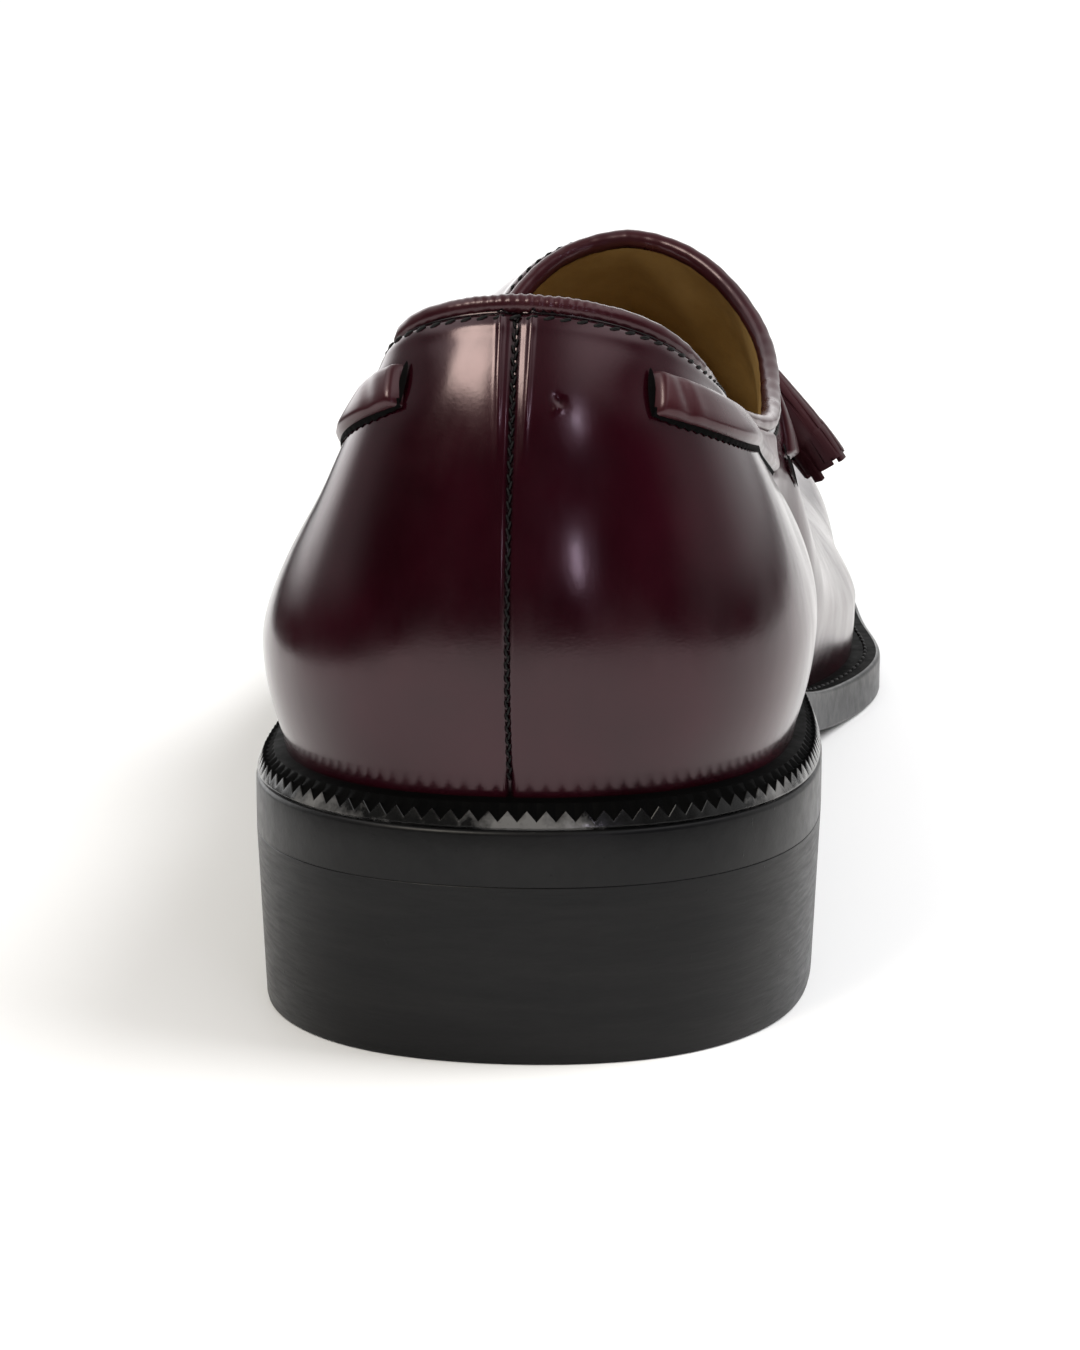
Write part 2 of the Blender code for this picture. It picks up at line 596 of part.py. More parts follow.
def make_tassel(row):
    """Cap and fringe in one solid. The fringe's strips are ribs round it, cut to
    slightly different lengths."""
    start = beside_knot(np.sign(row.sections[0]), row.knot, FIT + 0.15 * TASSEL_CAP_WIDTH)
    spots = [start] + list(zip(row.sections, row.up))
    path = spline(np.linspace(0, 1, len(spots)), [(*spot, lift) for spot, lift in zip(spots, row.lift)])
    u, v, lift = path(np.linspace(0, 1, 60)).T
    line = off(u, v, lift * TASSEL_THICKNESS)
    out = slopes(u, v)[2]
    run = np.append(0, np.cumsum(np.linalg.norm(np.diff(line, axis=0), axis=1)))
    cap = TASSEL_CAP_LENGTH / TASSEL_LENGTH
    stations = [(0, 0.35, 0), (0.03, 0.62, 0), (cap * 0.45, 0.95, 0), (cap * 0.85, 1, 0),
                (cap, 0.86, 0), (cap + 0.05, 0.98, 1), (0.62, 1.2, 1), (0.94, 1.42, 1)]
    turn = np.linspace(0, 2 * np.pi, 3 * FRINGE_STRIPS, endpoint=False)
    rib = np.array([1.0, 1.0, 0.0])[np.arange(len(turn)) % 3]
    strip = np.arange(len(turn)) // 3
    cut = 0.030 * np.sin(2.4 * strip + 0.7)
    rings = []
    for at, size, ribbed in stations:
        far = (at + cut * ribbed * (at > 0.9)) * TASSEL_LENGTH
        middle = np.stack([np.interp(far, run, line[:, k]) for k in range(3)], -1)
        normal = unit(np.stack([np.interp(far, run, out[:, k]) for k in range(3)], -1))
        ahead = np.stack([np.interp(far + 0.001, run, line[:, k]) for k in range(3)], -1)
        behind = np.stack([np.interp(far - 0.001, run, line[:, k]) for k in range(3)], -1)
        across = unit(np.cross(normal, ahead - behind))
        wide = TASSEL_CAP_WIDTH / 2 * size if not ribbed else TASSEL_END_WIDTH / 2 * size / 1.42
        thick = TASSEL_THICKNESS / 2 * min(size, 1)
        depth = 1 - 0.16 * (1 - rib[:, None]) * ribbed
        rings.append(middle + (across * np.cos(turn)[:, None] * wide + normal * np.sin(turn)[:, None] * thick) * depth)
    work = bmesh.new()
    spots = [[work.verts.new(p) for p in ring] for ring in rings]
    n = len(turn)
    for low, high in zip(spots, spots[1:]):
        for i in range(n):
            work.faces.new((low[i - 1], low[i], high[i], high[i - 1]))
    for ring, points in ((spots[0], rings[0]), (spots[-1], rings[-1])):
        hub = work.verts.new(points.mean(0))
        for i in range(n):
            work.faces.new((ring[i - 1], ring[i], hub))
    bmesh.ops.recalc_face_normals(work, faces=work.faces)
    mesh = bpy.data.meshes.new(row.name)
    work.to_mesh(mesh)
    work.free()
    return finish(row.name, mesh, leather, 30)


for old in list(bpy.data.objects):
    bpy.data.objects.remove(old)

parts = bpy.data.collections.new("tassel_loafer")
cutters = bpy.data.collections.new("cutters")
bpy.context.scene.collection.children.link(parts)
bpy.context.scene.collection.children.link(cutters)
shoe = bpy.data.objects.new("shoe", None)
parts.objects.link(shoe)
shoe.location = (0, -HEEL_CENTRE, 0)

leather = material("burgundy leather", (0.035, 0.004, 0.009), 0.22)
sole_black = material("black sole edge", (0.012, 0.012, 0.013), 0.35)
heel_black = material("black heel stack", (0.016, 0.016, 0.017), 0.50)
lining_tan = material("tan lining", (0.19, 0.12, 0.05), 0.60)

make_outsole()
make_heel()
make_heel_rand()
make_insole()
make_upper()
make_topline_bead()
for lace in LACES:
    make_lace(lace)
make_knot()
for tassel in TASSELS:
    make_tassel(tassel)
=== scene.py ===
"""Looks of a left tassel loafer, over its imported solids.

Metres, +Z up, toe along +Y. The same named sizes and section tables as the solids give the
last; every surface below is drawn finer from them and stays on the solid that it stands for.
"""
from collections import namedtuple

import bmesh
import bpy
import numpy as np
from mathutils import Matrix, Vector


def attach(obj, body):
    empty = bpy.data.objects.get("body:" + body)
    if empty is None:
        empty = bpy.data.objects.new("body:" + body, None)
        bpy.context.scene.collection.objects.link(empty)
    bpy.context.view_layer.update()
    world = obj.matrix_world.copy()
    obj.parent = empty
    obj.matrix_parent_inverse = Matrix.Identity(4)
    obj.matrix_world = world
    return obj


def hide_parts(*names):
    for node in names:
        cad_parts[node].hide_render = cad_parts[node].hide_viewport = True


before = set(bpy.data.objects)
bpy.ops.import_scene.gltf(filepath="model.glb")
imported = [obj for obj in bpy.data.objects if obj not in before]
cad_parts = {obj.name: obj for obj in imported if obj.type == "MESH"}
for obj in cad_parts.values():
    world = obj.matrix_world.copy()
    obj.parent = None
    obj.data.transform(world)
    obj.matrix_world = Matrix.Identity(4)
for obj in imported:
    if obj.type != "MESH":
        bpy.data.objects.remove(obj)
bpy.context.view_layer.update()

# Lasted sizes
LENGTH = 0.303
BALL_WIDTH = 0.1015
HEEL_WIDTH = 0.0688
TOPLINE_HEIGHT = 0.0855
OPENING_WIDTH = 0.0455
SIDE_BULGE = 0.0072
CREST_OFFSET = 0.0049
TOE_SPRING = 0.0085
TOE_SWING = 0.003
WALL = 0.0022

# Bottom
HEEL_HEIGHT = 0.0212
HEEL_LENGTH = 0.074
HEEL_TAPER = 0.0009
HEEL_CENTRE = 0.032
BREAST_RADIUS = 0.070
BREAST_HOLLOW = 0.0045
SOLE_THICKNESS = 0.0066
SOLE_ROUNDING = 0.0007
WELT_WIDTH = 0.0050
RAND_HEIGHT = 0.0033
RAND_END = 0.095
RAND_RUN = 0.055
RAND_FACE = 0.0021
TOOTH_PITCH = 0.0022
TOOTH_HEIGHT = 0.0012
FIT = 0.0003

# Trim
BEAD_RADIUS = 0.0011
STRAP_WIDTH = 0.0055
STRAP_THICKNESS = 0.0014
SEAM_RISE = 0.0010
KNOT_WIDTH = 0.0130
KNOT_LENGTH = 0.0125
KNOT_THICKNESS = 0.0046
TASSEL_LENGTH = 0.036
TASSEL_CAP_LENGTH = 0.010
TASSEL_CAP_WIDTH = 0.0074
TASSEL_END_WIDTH = 0.0105
TASSEL_THICKNESS = 0.0046

# Stations along the length where the form changes, as shares of it
SEAT_END = 0.19
TREAD_START = 0.67
TREAD_END = 0.745

# The outsole's edge: place along, then medial and lateral half-widths as shares of the
# width there, and the ledge outside the upper as a share of the welt's width.
Edge = namedtuple("Edge", "station along medial lateral ledge")
OUTLINE = [
    Edge("heel curve", 0.018, 0.290, 0.295, 0.80),
    Edge("heel side", 0.060, 0.445, 0.445, 0.76),
    Edge("seat", 0.130, 0.505, 0.495, 0.68),
    Edge("breast", 0.230, 0.478, 0.495, 0.64),
    Edge("waist", 0.370, 0.356, 0.452, 0.54),
    Edge("arch", 0.480, 0.318, 0.468, 0.64),
    Edge("outer ball", 0.590, 0.372, 0.526, 0.92),
    Edge("inner ball", 0.680, 0.428, 0.534, 1.00),
    Edge("tread front", 0.780, 0.402, 0.500, 1.00),
    Edge("toe shoulder", 0.885, 0.362, 0.414, 0.96),
    Edge("toe curve", 0.960, 0.252, 0.256, 0.92),
]

# The last, a row for each section. base is where it leaves the sole, as a share of the edge
# from heel to toe. bulge_in and bulge_out are shares of the side bulge, widest and height are
# shares of the topline's height, wall and crown are handle lengths, along is where it ends.
Section = namedtuple("Section", "name base bulge_in bulge_out widest wall crown along height")
SECTIONS = [
    Section("back seam", 0.000, 0.39, 0.39, 0.172, 0.42, 0.32, 0.042, 0.997),
    Section("counter", 0.060, 0.37, 0.38, 0.150, 0.34, 0.33, 0.054, 0.963),
    Section("counter side", 0.120, 0.35, 0.37, 0.140, 0.27, 0.33, 0.085, 0.898),
    Section("heel side", 0.190, 0.38, 0.38, 0.150, 0.26, 0.32, 0.134, 0.850),
    Section("ankle", 0.270, 0.56, 0.41, 0.177, 0.31, 0.31, 0.201, 0.782),
    Section("low point", 0.345, 0.85, 0.43, 0.206, 0.35, 0.30, 0.279, 0.723),
    Section("quarter", 0.405, 1.00, 0.43, 0.225, 0.37, 0.31, 0.350, 0.748),
    Section("throat side", 0.450, 1.03, 0.42, 0.225, 0.36, 0.31, 0.399, 0.828),
    Section("throat corner", 0.485, 0.98, 0.42, 0.206, 0.33, 0.30, 0.428, 0.938),
    Section("throat", 0.515, 0.88, 0.41, 0.177, 0.27, 0.30, 0.439, 0.980),
    Section("instep", 0.560, 0.64, 0.37, 0.144, 0.20, 0.32, 0.495, 0.870),
    Section("vamp", 0.620, 0.25, 0.31, 0.116, 0.16, 0.35, 0.575, 0.709),
    Section("ball", 0.690, 0.09, 0.23, 0.110, 0.18, 0.39, 0.660, 0.596),
    Section("tread", 0.765, 0.05, 0.19, 0.120, 0.28, 0.46, 0.745, 0.533),
    Section("toe box", 0.840, 0.12, 0.19, 0.138, 0.43, 0.53, 0.825, 0.504),
    Section("toe shoulder", 0.915, 0.18, 0.19, 0.143, 0.54, 0.58, 0.885, 0.482),
    Section("toe tip", 1.000, 0.19, 0.19, 0.140, 0.58, 0.60, 0.922, 0.462),
]
THROAT = 9
TOE = 16
ROLL = 0.22

# The same sections as far as the throat: the opening's half-widths as shares of its width,
# and the lean of the wall at its edge in degrees.
Collar = namedtuple("Collar", "name medial lateral lean")
COLLAR = [
    Collar("back seam", 0.000, 0.000, 36),
    Collar("counter", 0.320, 0.290, 39),
    Collar("counter side", 0.442, 0.344, 39),
    Collar("heel side", 0.443, 0.370, 37),
    Collar("ankle", 0.452, 0.426, 35),
    Collar("low point", 0.520, 0.478, 35),
    Collar("quarter", 0.509, 0.490, 38),
    Collar("throat side", 0.455, 0.428, 48),
    Collar("throat corner", 0.268, 0.268, 66),
    Collar("throat", 0.000, 0.000, 76),
]

# The crest of the foot stands to the medial side, by shares of the crest offset.
Crest = namedtuple("Crest", "along across")
CREST = [
    Crest(0.40, 1.00), Crest(0.50, 0.84), Crest(0.62, 0.65), Crest(0.75, 0.57), Crest(1.00, 0.61),
]

# The raised apron seam: section, height up it, and share of its full rise.
Seam = namedtuple("Seam", "section up rise")
APRON = [
    Seam(9.3, 0.71, 0.0), Seam(10.2, 0.66, 1.0), Seam(11.3, 0.62, 1.0), Seam(12.8, 0.60, 1.0),
    Seam(14.4, 0.61, 1.0), Seam(16.0, 0.635, 1.0),
]

# The lace, where it lies outside: sections and heights from a slit to the next slit, or to
# the knot. knot is the place along the knot's side, from -1 at its rear to 1 at its front.
Lace = namedtuple("Lace", "name sections up knot")
LACES = [
    Lace("lace_medial_rear", (0.95, 2.00, 3.30, 4.75), (0.820, 0.830, 0.836, 0.822), None),
    Lace("lace_lateral_rear", (-0.80, -2.00, -3.30, -4.75), (0.822, 0.806, 0.812, 0.835), None),
    Lace("lace_medial_front", (7.70, 8.35, 8.95), (0.470, 0.600, 0.720), -0.35),
    Lace("lace_lateral_front", (-7.70, -8.35, -8.95), (0.470, 0.590, 0.690), -0.35),
]
KNOT_SECTION = 9.95

# Each tassel's path from its place at the knot's side: sections, heights up them, and how far
# its middle stands off the leather as shares of its thickness.
Tassel = namedtuple("Tassel", "name knot sections up lift")
TASSELS = [
    Tassel("tassel_medial", 0.40, (9.79, 9.66, 9.47, 9.23), (0.764, 0.668, 0.569, 0.466),
           (0.45, 0.66, 0.74, 0.92, 1.25)),
    Tassel("tassel_lateral", 0.50, (-9.98, -10.01, -10.03, -10.03), (0.838, 0.763, 0.690, 0.618),
           (0.45, 0.66, 0.70, 0.76, 0.84)),
]

# Threads: how far apart, how long, and how thick
Stitch = namedtuple("Stitch", "pitch length radius")
COLLAR_STITCH = Stitch(0.0019, 0.0014, 0.00024)
BACK_STITCH = Stitch(0.00075, 0.00105, 0.00015)
WELT_STITCH = Stitch(0.0030, 0.0023, 0.00032)

# Fine sizes that only the looks have
SEAM_GROOVE = 0.00045
SEAM_FADE = 0.019
PUCKER_PITCH = 0.0030
RIDGE_HALF = 0.00085
SLIT_DIP = 0.00030
SLIT_LIFT = 0.00025
DIVE_RUN = 0.0014
DIVE_DEPTH = 0.0006
PINKING_PITCH = 0.00125
BEAD_LIFT = 0.0001
TASSEL_STRIPS = 20
STRIP_HALF = 0.00094
STRIP_THICKNESS = 0.00036
TOOTH_POINTS = 6
ROUND_SHARP = 50
EDGE_SHARP = 35
TOOTH_SHARP = 24


def ease(t):
    t = np.clip(t, 0, 1)
    return t**3 * (t * (6 * t - 15) + 10)


def spline(xs, rows, ends="free"):
    """Smooth curve through the rows at xs; its ends are free, flat or joined."""
    xs, rows = np.asarray(xs, float), np.asarray(rows, float)
    n, h = len(xs), np.diff(xs)
    slope = np.diff(rows, axis=0) / h[:, None]
    a, b = np.zeros((n, n)), np.zeros((n, rows.shape[1]))
    for i in range(1, n - 1):
        a[i, i - 1:i + 2] = h[i - 1], 2 * (h[i - 1] + h[i]), h[i]
        b[i] = 6 * (slope[i] - slope[i - 1])
    if ends == "joined":
        a[0, 0], a[0, 1], a[0, n - 2] = 2 * (h[0] + h[-1]), h[0], h[-1]
        b[0] = 6 * (slope[0] - slope[-1])
        a[-1, 0], a[-1, -1] = 1, -1
    elif ends == "flat":
        a[0, :2], b[0] = (2 * h[0], h[0]), 6 * slope[0]
        a[-1, -2:], b[-1] = (h[-1], 2 * h[-1]), -6 * slope[-1]
    else:
        a[0, 0] = a[-1, -1] = 1
    m = np.linalg.solve(a, b)

    def curve(x):
        x = np.atleast_1d(np.asarray(x, float))
        if ends == "joined":
            x = xs[0] + (x - xs[0]) % (xs[-1] - xs[0])
        k = np.clip(np.searchsorted(xs, x, side="right") - 1, 0, n - 2)
        w, p, q = h[k][:, None], (x - xs[k])[:, None], (xs[k + 1] - x)[:, None]
        bend = (m[k] * q**3 + m[k + 1] * p**3) / (6 * w)
        return bend + (rows[k] / w - m[k] * w / 6) * q + (rows[k + 1] / w - m[k + 1] * w / 6) * p

    return curve


def unit(a):
    return a / np.maximum(np.linalg.norm(a, axis=-1, keepdims=True), 1e-12)


def running(line):
    """Running length along a line of points."""
    return np.append(0, np.cumsum(np.linalg.norm(np.diff(line, axis=0), axis=1)))


def underside(y):
    a = y / LENGTH
    rise = HEEL_HEIGHT * ease((TREAD_START - a) / (TREAD_START - SEAT_END))
    return rise + TOE_SPRING * (np.clip(a - TREAD_END, 0, None) / (1 - TREAD_END)) ** 2


def rand_at(y):
    return RAND_HEIGHT * ease(0.35 + (RAND_END - y) / RAND_RUN)


def feather_height(y):
    return underside(y) + SOLE_THICKNESS + rand_at(y)


def width_at(along):
    return HEEL_WIDTH + (BALL_WIDTH - HEEL_WIDTH) * ease((along - SEAT_END) / 0.41)


def outline_curve():
    """Closed curve round the outsole, its running length, and that length at the toe."""
    out = [(0, 0, OUTLINE[0].ledge)]
    out += [(r.medial * width_at(r.along), r.along * LENGTH, r.ledge) for r in OUTLINE]
    out += [(TOE_SWING, LENGTH, OUTLINE[-1].ledge)]
    toe = len(out) - 1
    out += [(-r.lateral * width_at(r.along), r.along * LENGTH, r.ledge) for r in reversed(OUTLINE)]
    out = np.array(out + out[:1])
    chord = running(out[:, :2])
    curve = spline(chord, out, "joined")
    at = np.linspace(0, chord[-1], 2001)
    run = running(curve(at)[:, :2])
    return curve, at, run, np.interp(chord[toe], at, run)


EDGE, EDGE_AT, EDGE_RUN, EDGE_TOE = outline_curve()


def sole_edge(c):
    """Point, outward direction and ledge of the outsole's edge. c runs from 0 at the heel
    to 1 at the toe, negative on the lateral side."""
    c = np.atleast_1d(np.asarray(c, float))
    run = np.where(c >= 0, c * EDGE_TOE, EDGE_RUN[-1] + c * (EDGE_RUN[-1] - EDGE_TOE))
    t = np.interp(run, EDGE_RUN, EDGE_AT)
    p = EDGE(t)
    d = unit(EDGE(t + 1e-5)[:, :2] - EDGE(t - 1e-5)[:, :2])
    return p[:, :2], np.stack([d[:, 1], -d[:, 0]], -1), p[:, 2] * WELT_WIDTH


ROWS = np.arange(len(SECTIONS))
FOOT = spline(ROWS, [s[1:7] for s in SECTIONS])
TOP_REAR = spline(ROWS[:THROAT + 1], [s[7:9] for s in SECTIONS[:THROAT + 1]], "flat")
TOP_FRONT = spline(ROWS[THROAT:], [s[7:9] for s in SECTIONS[THROAT:]])
OPENING = spline(ROWS[:THROAT + 1], [s[1:4] for s in COLLAR])
CREST_LINE = spline([r.along for r in CREST], [[r.across] for r in CREST])


def section_points(u):
    """The five shaping points of each section; u is its row, negative on the lateral side."""
    row, side = np.abs(u), np.where(u >= 0, 1.0, -1.0)
    base, bulge_in, bulge_out, widest, wall, crown = FOOT(row).T
    xy, out, ledge = sole_edge(side * np.clip(base, 0, 1))
    foot = xy - out * ledge[:, None]
    rear = row <= THROAT
    behind, ahead = np.minimum(row, THROAT), np.maximum(row, THROAT)
    along, height = np.where(rear[:, None], TOP_REAR(behind), TOP_FRONT(ahead)).T
    medial, lateral, lean = OPENING(behind).T
    half = OPENING_WIDTH * np.where(rear, np.where(side > 0, medial, lateral), 0)
    crest_x = CREST_OFFSET * CREST_LINE(along)[:, 0] * ease(row / THROAT)
    top = np.stack([crest_x + side * half, along * LENGTH, height * TOPLINE_HEIGHT], -1)
    way = unit(top[:, :2] - foot)
    near, far = TOP_FRONT(np.clip(ahead - 0.01, THROAT, TOE)), TOP_FRONT(np.clip(ahead + 0.01, THROAT, TOE))
    fall = (far - near)[:, 1] * TOPLINE_HEIGHT / ((far - near)[:, 0] * LENGTH)
    lean = np.radians(lean)[:, None]
    edge = np.concatenate([way * np.sin(lean), np.cos(lean)], 1)
    crest = unit(np.concatenate([way, (fall * way[:, 1])[:, None]], 1))
    share = ease((row - THROAT + 2) / 2)[:, None]
    end = unit(edge * (1 - share) + crest * share)
    low = feather_height(foot[:, 1]) + FIT
    bulge = SIDE_BULGE * np.where(side > 0, bulge_in, bulge_out)
    feather = np.concatenate([foot, low[:, None]], 1)
    side_point = np.concatenate([foot - way * bulge[:, None], (low + widest * TOPLINE_HEIGHT)[:, None]], 1)
    span = top - side_point
    pull = crown * np.hypot(np.linalg.norm(span[:, :2], axis=1) * np.linalg.norm(end[:, :2], axis=1),
                            span[:, 2] * end[:, 2])
    upright = side_point + np.array([0, 0, 1]) * (wall * span[:, 2])[:, None]
    return feather, side_point, upright, top - end * pull[:, None], top


def section_curve(u, v):
    u = np.where(np.abs(u) > TOE, u - 2 * TOE * np.sign(u), u)
    feather, p0, p1, p2, p3 = section_points(u)
    v = v[:, None]
    roll = np.clip(v / ROLL, 0, 1)
    low = feather + (p0 - feather) * np.concatenate([np.sin(roll * np.pi / 2)] * 2 + [roll], 1)
    t = np.clip((v - ROLL) / (1 - ROLL), 0, 1)
    high = (1 - t)**3 * p0 + 3 * (1 - t)**2 * t * p1 + 3 * (1 - t) * t**2 * p2 + t**3 * p3
    return np.where(v < ROLL, low, high)


def last(u, v):
    """Outer face of the upper. u is the section, v runs from 0 at the sole to 1 at the top.
    Neighbouring sections are blended, most at the throat and least towards the top edge."""
    u, v = np.broadcast_arrays(np.asarray(u, float), np.asarray(v, float))
    shape, u, v = u.shape, u.ravel(), v.ravel()
    spread = (0.3 + 0.8 * np.exp(-((np.abs(u) - THROAT) / 2)**2)) * np.clip(v * 6, 0, 1) * (1 - v)**0.7
    mix = [(0.0, 0.20), (0.33, 0.18), (0.66, 0.16), (1.0, 0.06)]
    out = mix[0][1] * section_curve(u, v)
    for step, weight in mix[1:]:
        out += weight * (section_curve(u + step * spread, v) + section_curve(u - step * spread, v))
    return out.reshape(shape + (3,))


def slopes(u, v):
    """Directions along u and along v, and the outward normal."""
    u, v = np.broadcast_arrays(np.asarray(u, float), np.asarray(v, float))
    along_u = last(u + 0.01, v) - last(u - 0.01, v)
    up, down = np.minimum(v + 0.004, 1), np.maximum(v - 0.004, 0)
    along_v = (last(u, up) - last(u, down)) / (up - down)[..., None]
    return along_u / 0.02, along_v, unit(np.cross(along_u, along_v))


def off(u, v, lift):
    """Point that stands off the leather by lift."""
    return last(u, v) + slopes(u, v)[2] * np.asarray(lift)[..., None]


def aside(u, v, way, distance):
    """Section and height of the point that lies a distance away along the leather."""
    du, dv, _ = slopes(u, v)
    a, b, c = (du * du).sum(-1), (du * dv).sum(-1), (dv * dv).sum(-1)
    p, q = (du * way).sum(-1) * distance, (dv * way).sum(-1) * distance
    det = a * c - b * b
    return u + (p * c - q * b) / det, v + (q * a - p * b) / det


def walk(u, v, way, distance):
    """Follow the leather from a point in a given direction, a little at a time."""
    for _ in range(4):
        u, v = aside(u, v, way, distance / 4)
        v = np.minimum(v, 1)
    return u, v


def from_crest(share, distance):
    """Section and height at a place on the knot's seat: share runs along the crest, and
    distance goes to the medial side, or to the lateral side if it is negative."""
    step = np.linalg.norm(slopes(KNOT_SECTION, 1.0)[0])
    side = np.where(distance >= 0, 1.0, -1.0)
    u = side * (KNOT_SECTION + share * KNOT_LENGTH / 2 / step)
    way = np.stack([side, 0 * side, 0 * side], -1)
    return walk(u, np.ones_like(u), way, np.abs(distance))


def beside_knot(side, share, gap):
    u, v = from_crest(share, np.array([side * (KNOT_WIDTH / 2 + gap)]))
    return u[0], v[0]


def edge_run(y_end, count):
    """Edge positions from the lateral side at y_end round the heel to the medial side."""
    c = np.linspace(0, 1, 801)
    ends = [np.interp(y_end, sole_edge(side * c)[0][:, 1], c) for side in (1, -1)]
    share = np.linspace(0, 1, count + 1)
    return np.concatenate([-share[::-1] * ends[1], share[1:] * ends[0]])


def edge_ring(c, inset, height):
    """Ring inside the sole's edge; height is a function of how far along it is."""
    xy, out, _ = sole_edge(c)
    xy = xy - out * np.broadcast_to(inset, c.shape)[:, None]
    return np.concatenate([xy, height(xy[:, 1])[:, None]], 1)


# Meshes

def quads(n, m, wrap_n=False, wrap_m=False):
    i = np.arange(n if wrap_n else n - 1)[:, None]
    j = np.arange(m if wrap_m else m - 1)[None]
    a, b = i * m + j, (i + 1) % n * m + j
    return np.stack([a, b, (i + 1) % n * m + (j + 1) % m, i * m + (j + 1) % m], -1).reshape(-1, 4)


def piece(name, points, faces, look, swaps=(), sharp=None, dark=None, merge=2e-6):
    """Mesh piece on the shoe. dark is a number for each point that blackens the surface, as painted
    shade or along the back seam, and points nearer to each other than merge become one."""
    mesh = bpy.data.meshes.new(name)
    spots = np.asarray(points, float).reshape(-1, 3) - [0, HEEL_CENTRE, 0]
    mesh.from_pydata(spots.tolist(), [], faces if isinstance(faces, list) else faces.tolist())
    if dark is not None:
        seam_and_shade = mesh.attributes.new("dark", "FLOAT", "POINT")
        seam_and_shade.data.foreach_set("value", np.asarray(dark, np.float32).ravel())
    work = bmesh.new()
    work.from_mesh(mesh)
    if merge:
        bmesh.ops.remove_doubles(work, verts=work.verts, dist=merge)
    if sharp is not None:
        bmesh.ops.recalc_face_normals(work, faces=work.faces)
    work.to_mesh(mesh)
    work.free()
    mesh.materials.append(look)
    mesh.shade_smooth()
    if sharp is not None:
        mesh.set_sharp_from_angle(angle=np.radians(sharp))
    thing = bpy.data.objects.new(name, mesh)
    bpy.context.scene.collection.objects.link(thing)
    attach(thing, "root")
    if swaps:
        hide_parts(*swaps)
    return thing


def closed_piece(name, rings, look):
    """Piece made of closed rings of points, with a face over each end."""
    n, m = rings.shape[:2]
    ends = [list(range(m)), list(range(n * m - 1, (n - 1) * m - 1, -1))]
    faces = quads(n, m, False, True).tolist() + ends
    return piece(name, rings, faces, look, sharp=ROUND_SHARP, merge=None)


def circle(count):
    """Angles round a full turn, laid along a mesh's second direction."""
    return np.linspace(0, 2 * np.pi, count, endpoint=False)[None, :, None]


def frames(line, normal):
    """Running length, sideways and outward directions along a line."""
    ahead = unit(np.gradient(line, axis=0))
    out = unit(normal - ahead * (normal * ahead).sum(-1, keepdims=True))
    return running(line), np.cross(out, ahead), out


def stitches(name, middles, along, normals, stitch, look):
    """Short rounded threads, one for each middle, all in one mesh."""
    along = unit(along)
    out = unit(normals - along * (normals * along).sum(-1, keepdims=True))
    side = np.cross(out, along)
    sides = 6
    turn = np.linspace(0, 2 * np.pi, sides, endpoint=False)
    rings = [(-0.5, 0.05, -0.5), (-0.42, 0.75, -0.1), (0, 1, 0.25), (0.42, 0.75, -0.1), (0.5, 0.05, -0.5)]
    points, faces = [], []
    for k, (m, a, s, o) in enumerate(zip(middles, along, side, out)):
        for at, size, lift in rings:
            c = m + a * at * stitch.length + o * lift * stitch.radius
            ring = s * np.cos(turn)[:, None] + o * np.sin(turn)[:, None]
            points.append(c + stitch.radius * size * ring)
        faces.append(quads(len(rings), sides, False, True) + len(rings) * sides * k)
    return piece(name, np.concatenate(points), np.concatenate(faces), look)


def spaced(u, v, pitch, lift):
    """Points every pitch along a line on the leather: middle, direction and normal."""
    run = running(off(u, v, lift + 0 * u))
    at = np.arange(pitch / 2, run[-1], run[-1] / max(round(run[-1] / pitch), 1))
    u, v = np.interp(at, run, u), np.interp(at, run, v)
    middle = off(u, v, lift + 0 * u)
    return middle, unit(np.gradient(middle, axis=0)), slopes(u, v)[2]


def bump(x, width):
    return np.exp(-(x / width)**2)


# Materials


def shader(name, slot, colour, roughness, **values):
    m = bpy.data.materials.new(name)
    m.use_nodes = True
    base = m.node_tree.nodes["Principled BSDF"]
    base.inputs["Base Color"].default_value = (*colour, 1)
    base.inputs["Roughness"].default_value = roughness
    for key, value in values.items():
        base.inputs[key.replace("_", " ")].default_value = value
    return m, m.node_tree, base


def noise(tree, scale, detail=4, rough=0.55, stretch=(1, 1, 1)):
    place = tree.nodes.new("ShaderNodeTexCoord")
    fit = tree.nodes.new("ShaderNodeMapping")
    fit.inputs["Scale"].default_value = stretch
    tex = tree.nodes.new("ShaderNodeTexNoise")
    tex.inputs["Scale"].default_value = scale
    tex.inputs["Detail"].default_value = detail
    tex.inputs["Roughness"].default_value = rough
    tree.links.new(place.outputs["Object"], fit.inputs["Vector"])
    tree.links.new(fit.outputs["Vector"], tex.inputs["Vector"])
    return tex.outputs["Fac"]


def ramp(tree, source, low, high, start, end, curve="LINEAR"):
    spread = tree.nodes.new("ShaderNodeMapRange")
    spread.interpolation_type = curve
    for key, value in (("From Min", low), ("From Max", high), ("To Min", start), ("To Max", end)):
        spread.inputs[key].default_value = value
    tree.links.new(source, spread.inputs["Value"])
    return spread.outputs["Result"]


def mixed(tree, factor, a, b):
    mix = tree.nodes.new("ShaderNodeMix")
    mix.data_type = "RGBA"
    tree.links.new(factor, mix.inputs["Factor"])
    for socket, value in ((mix.inputs[6], a), (mix.inputs[7], b)):
        if isinstance(value, tuple):
            socket.default_value = (*value, 1)
        else:
            tree.links.new(value, socket)
    return mix.outputs[2]


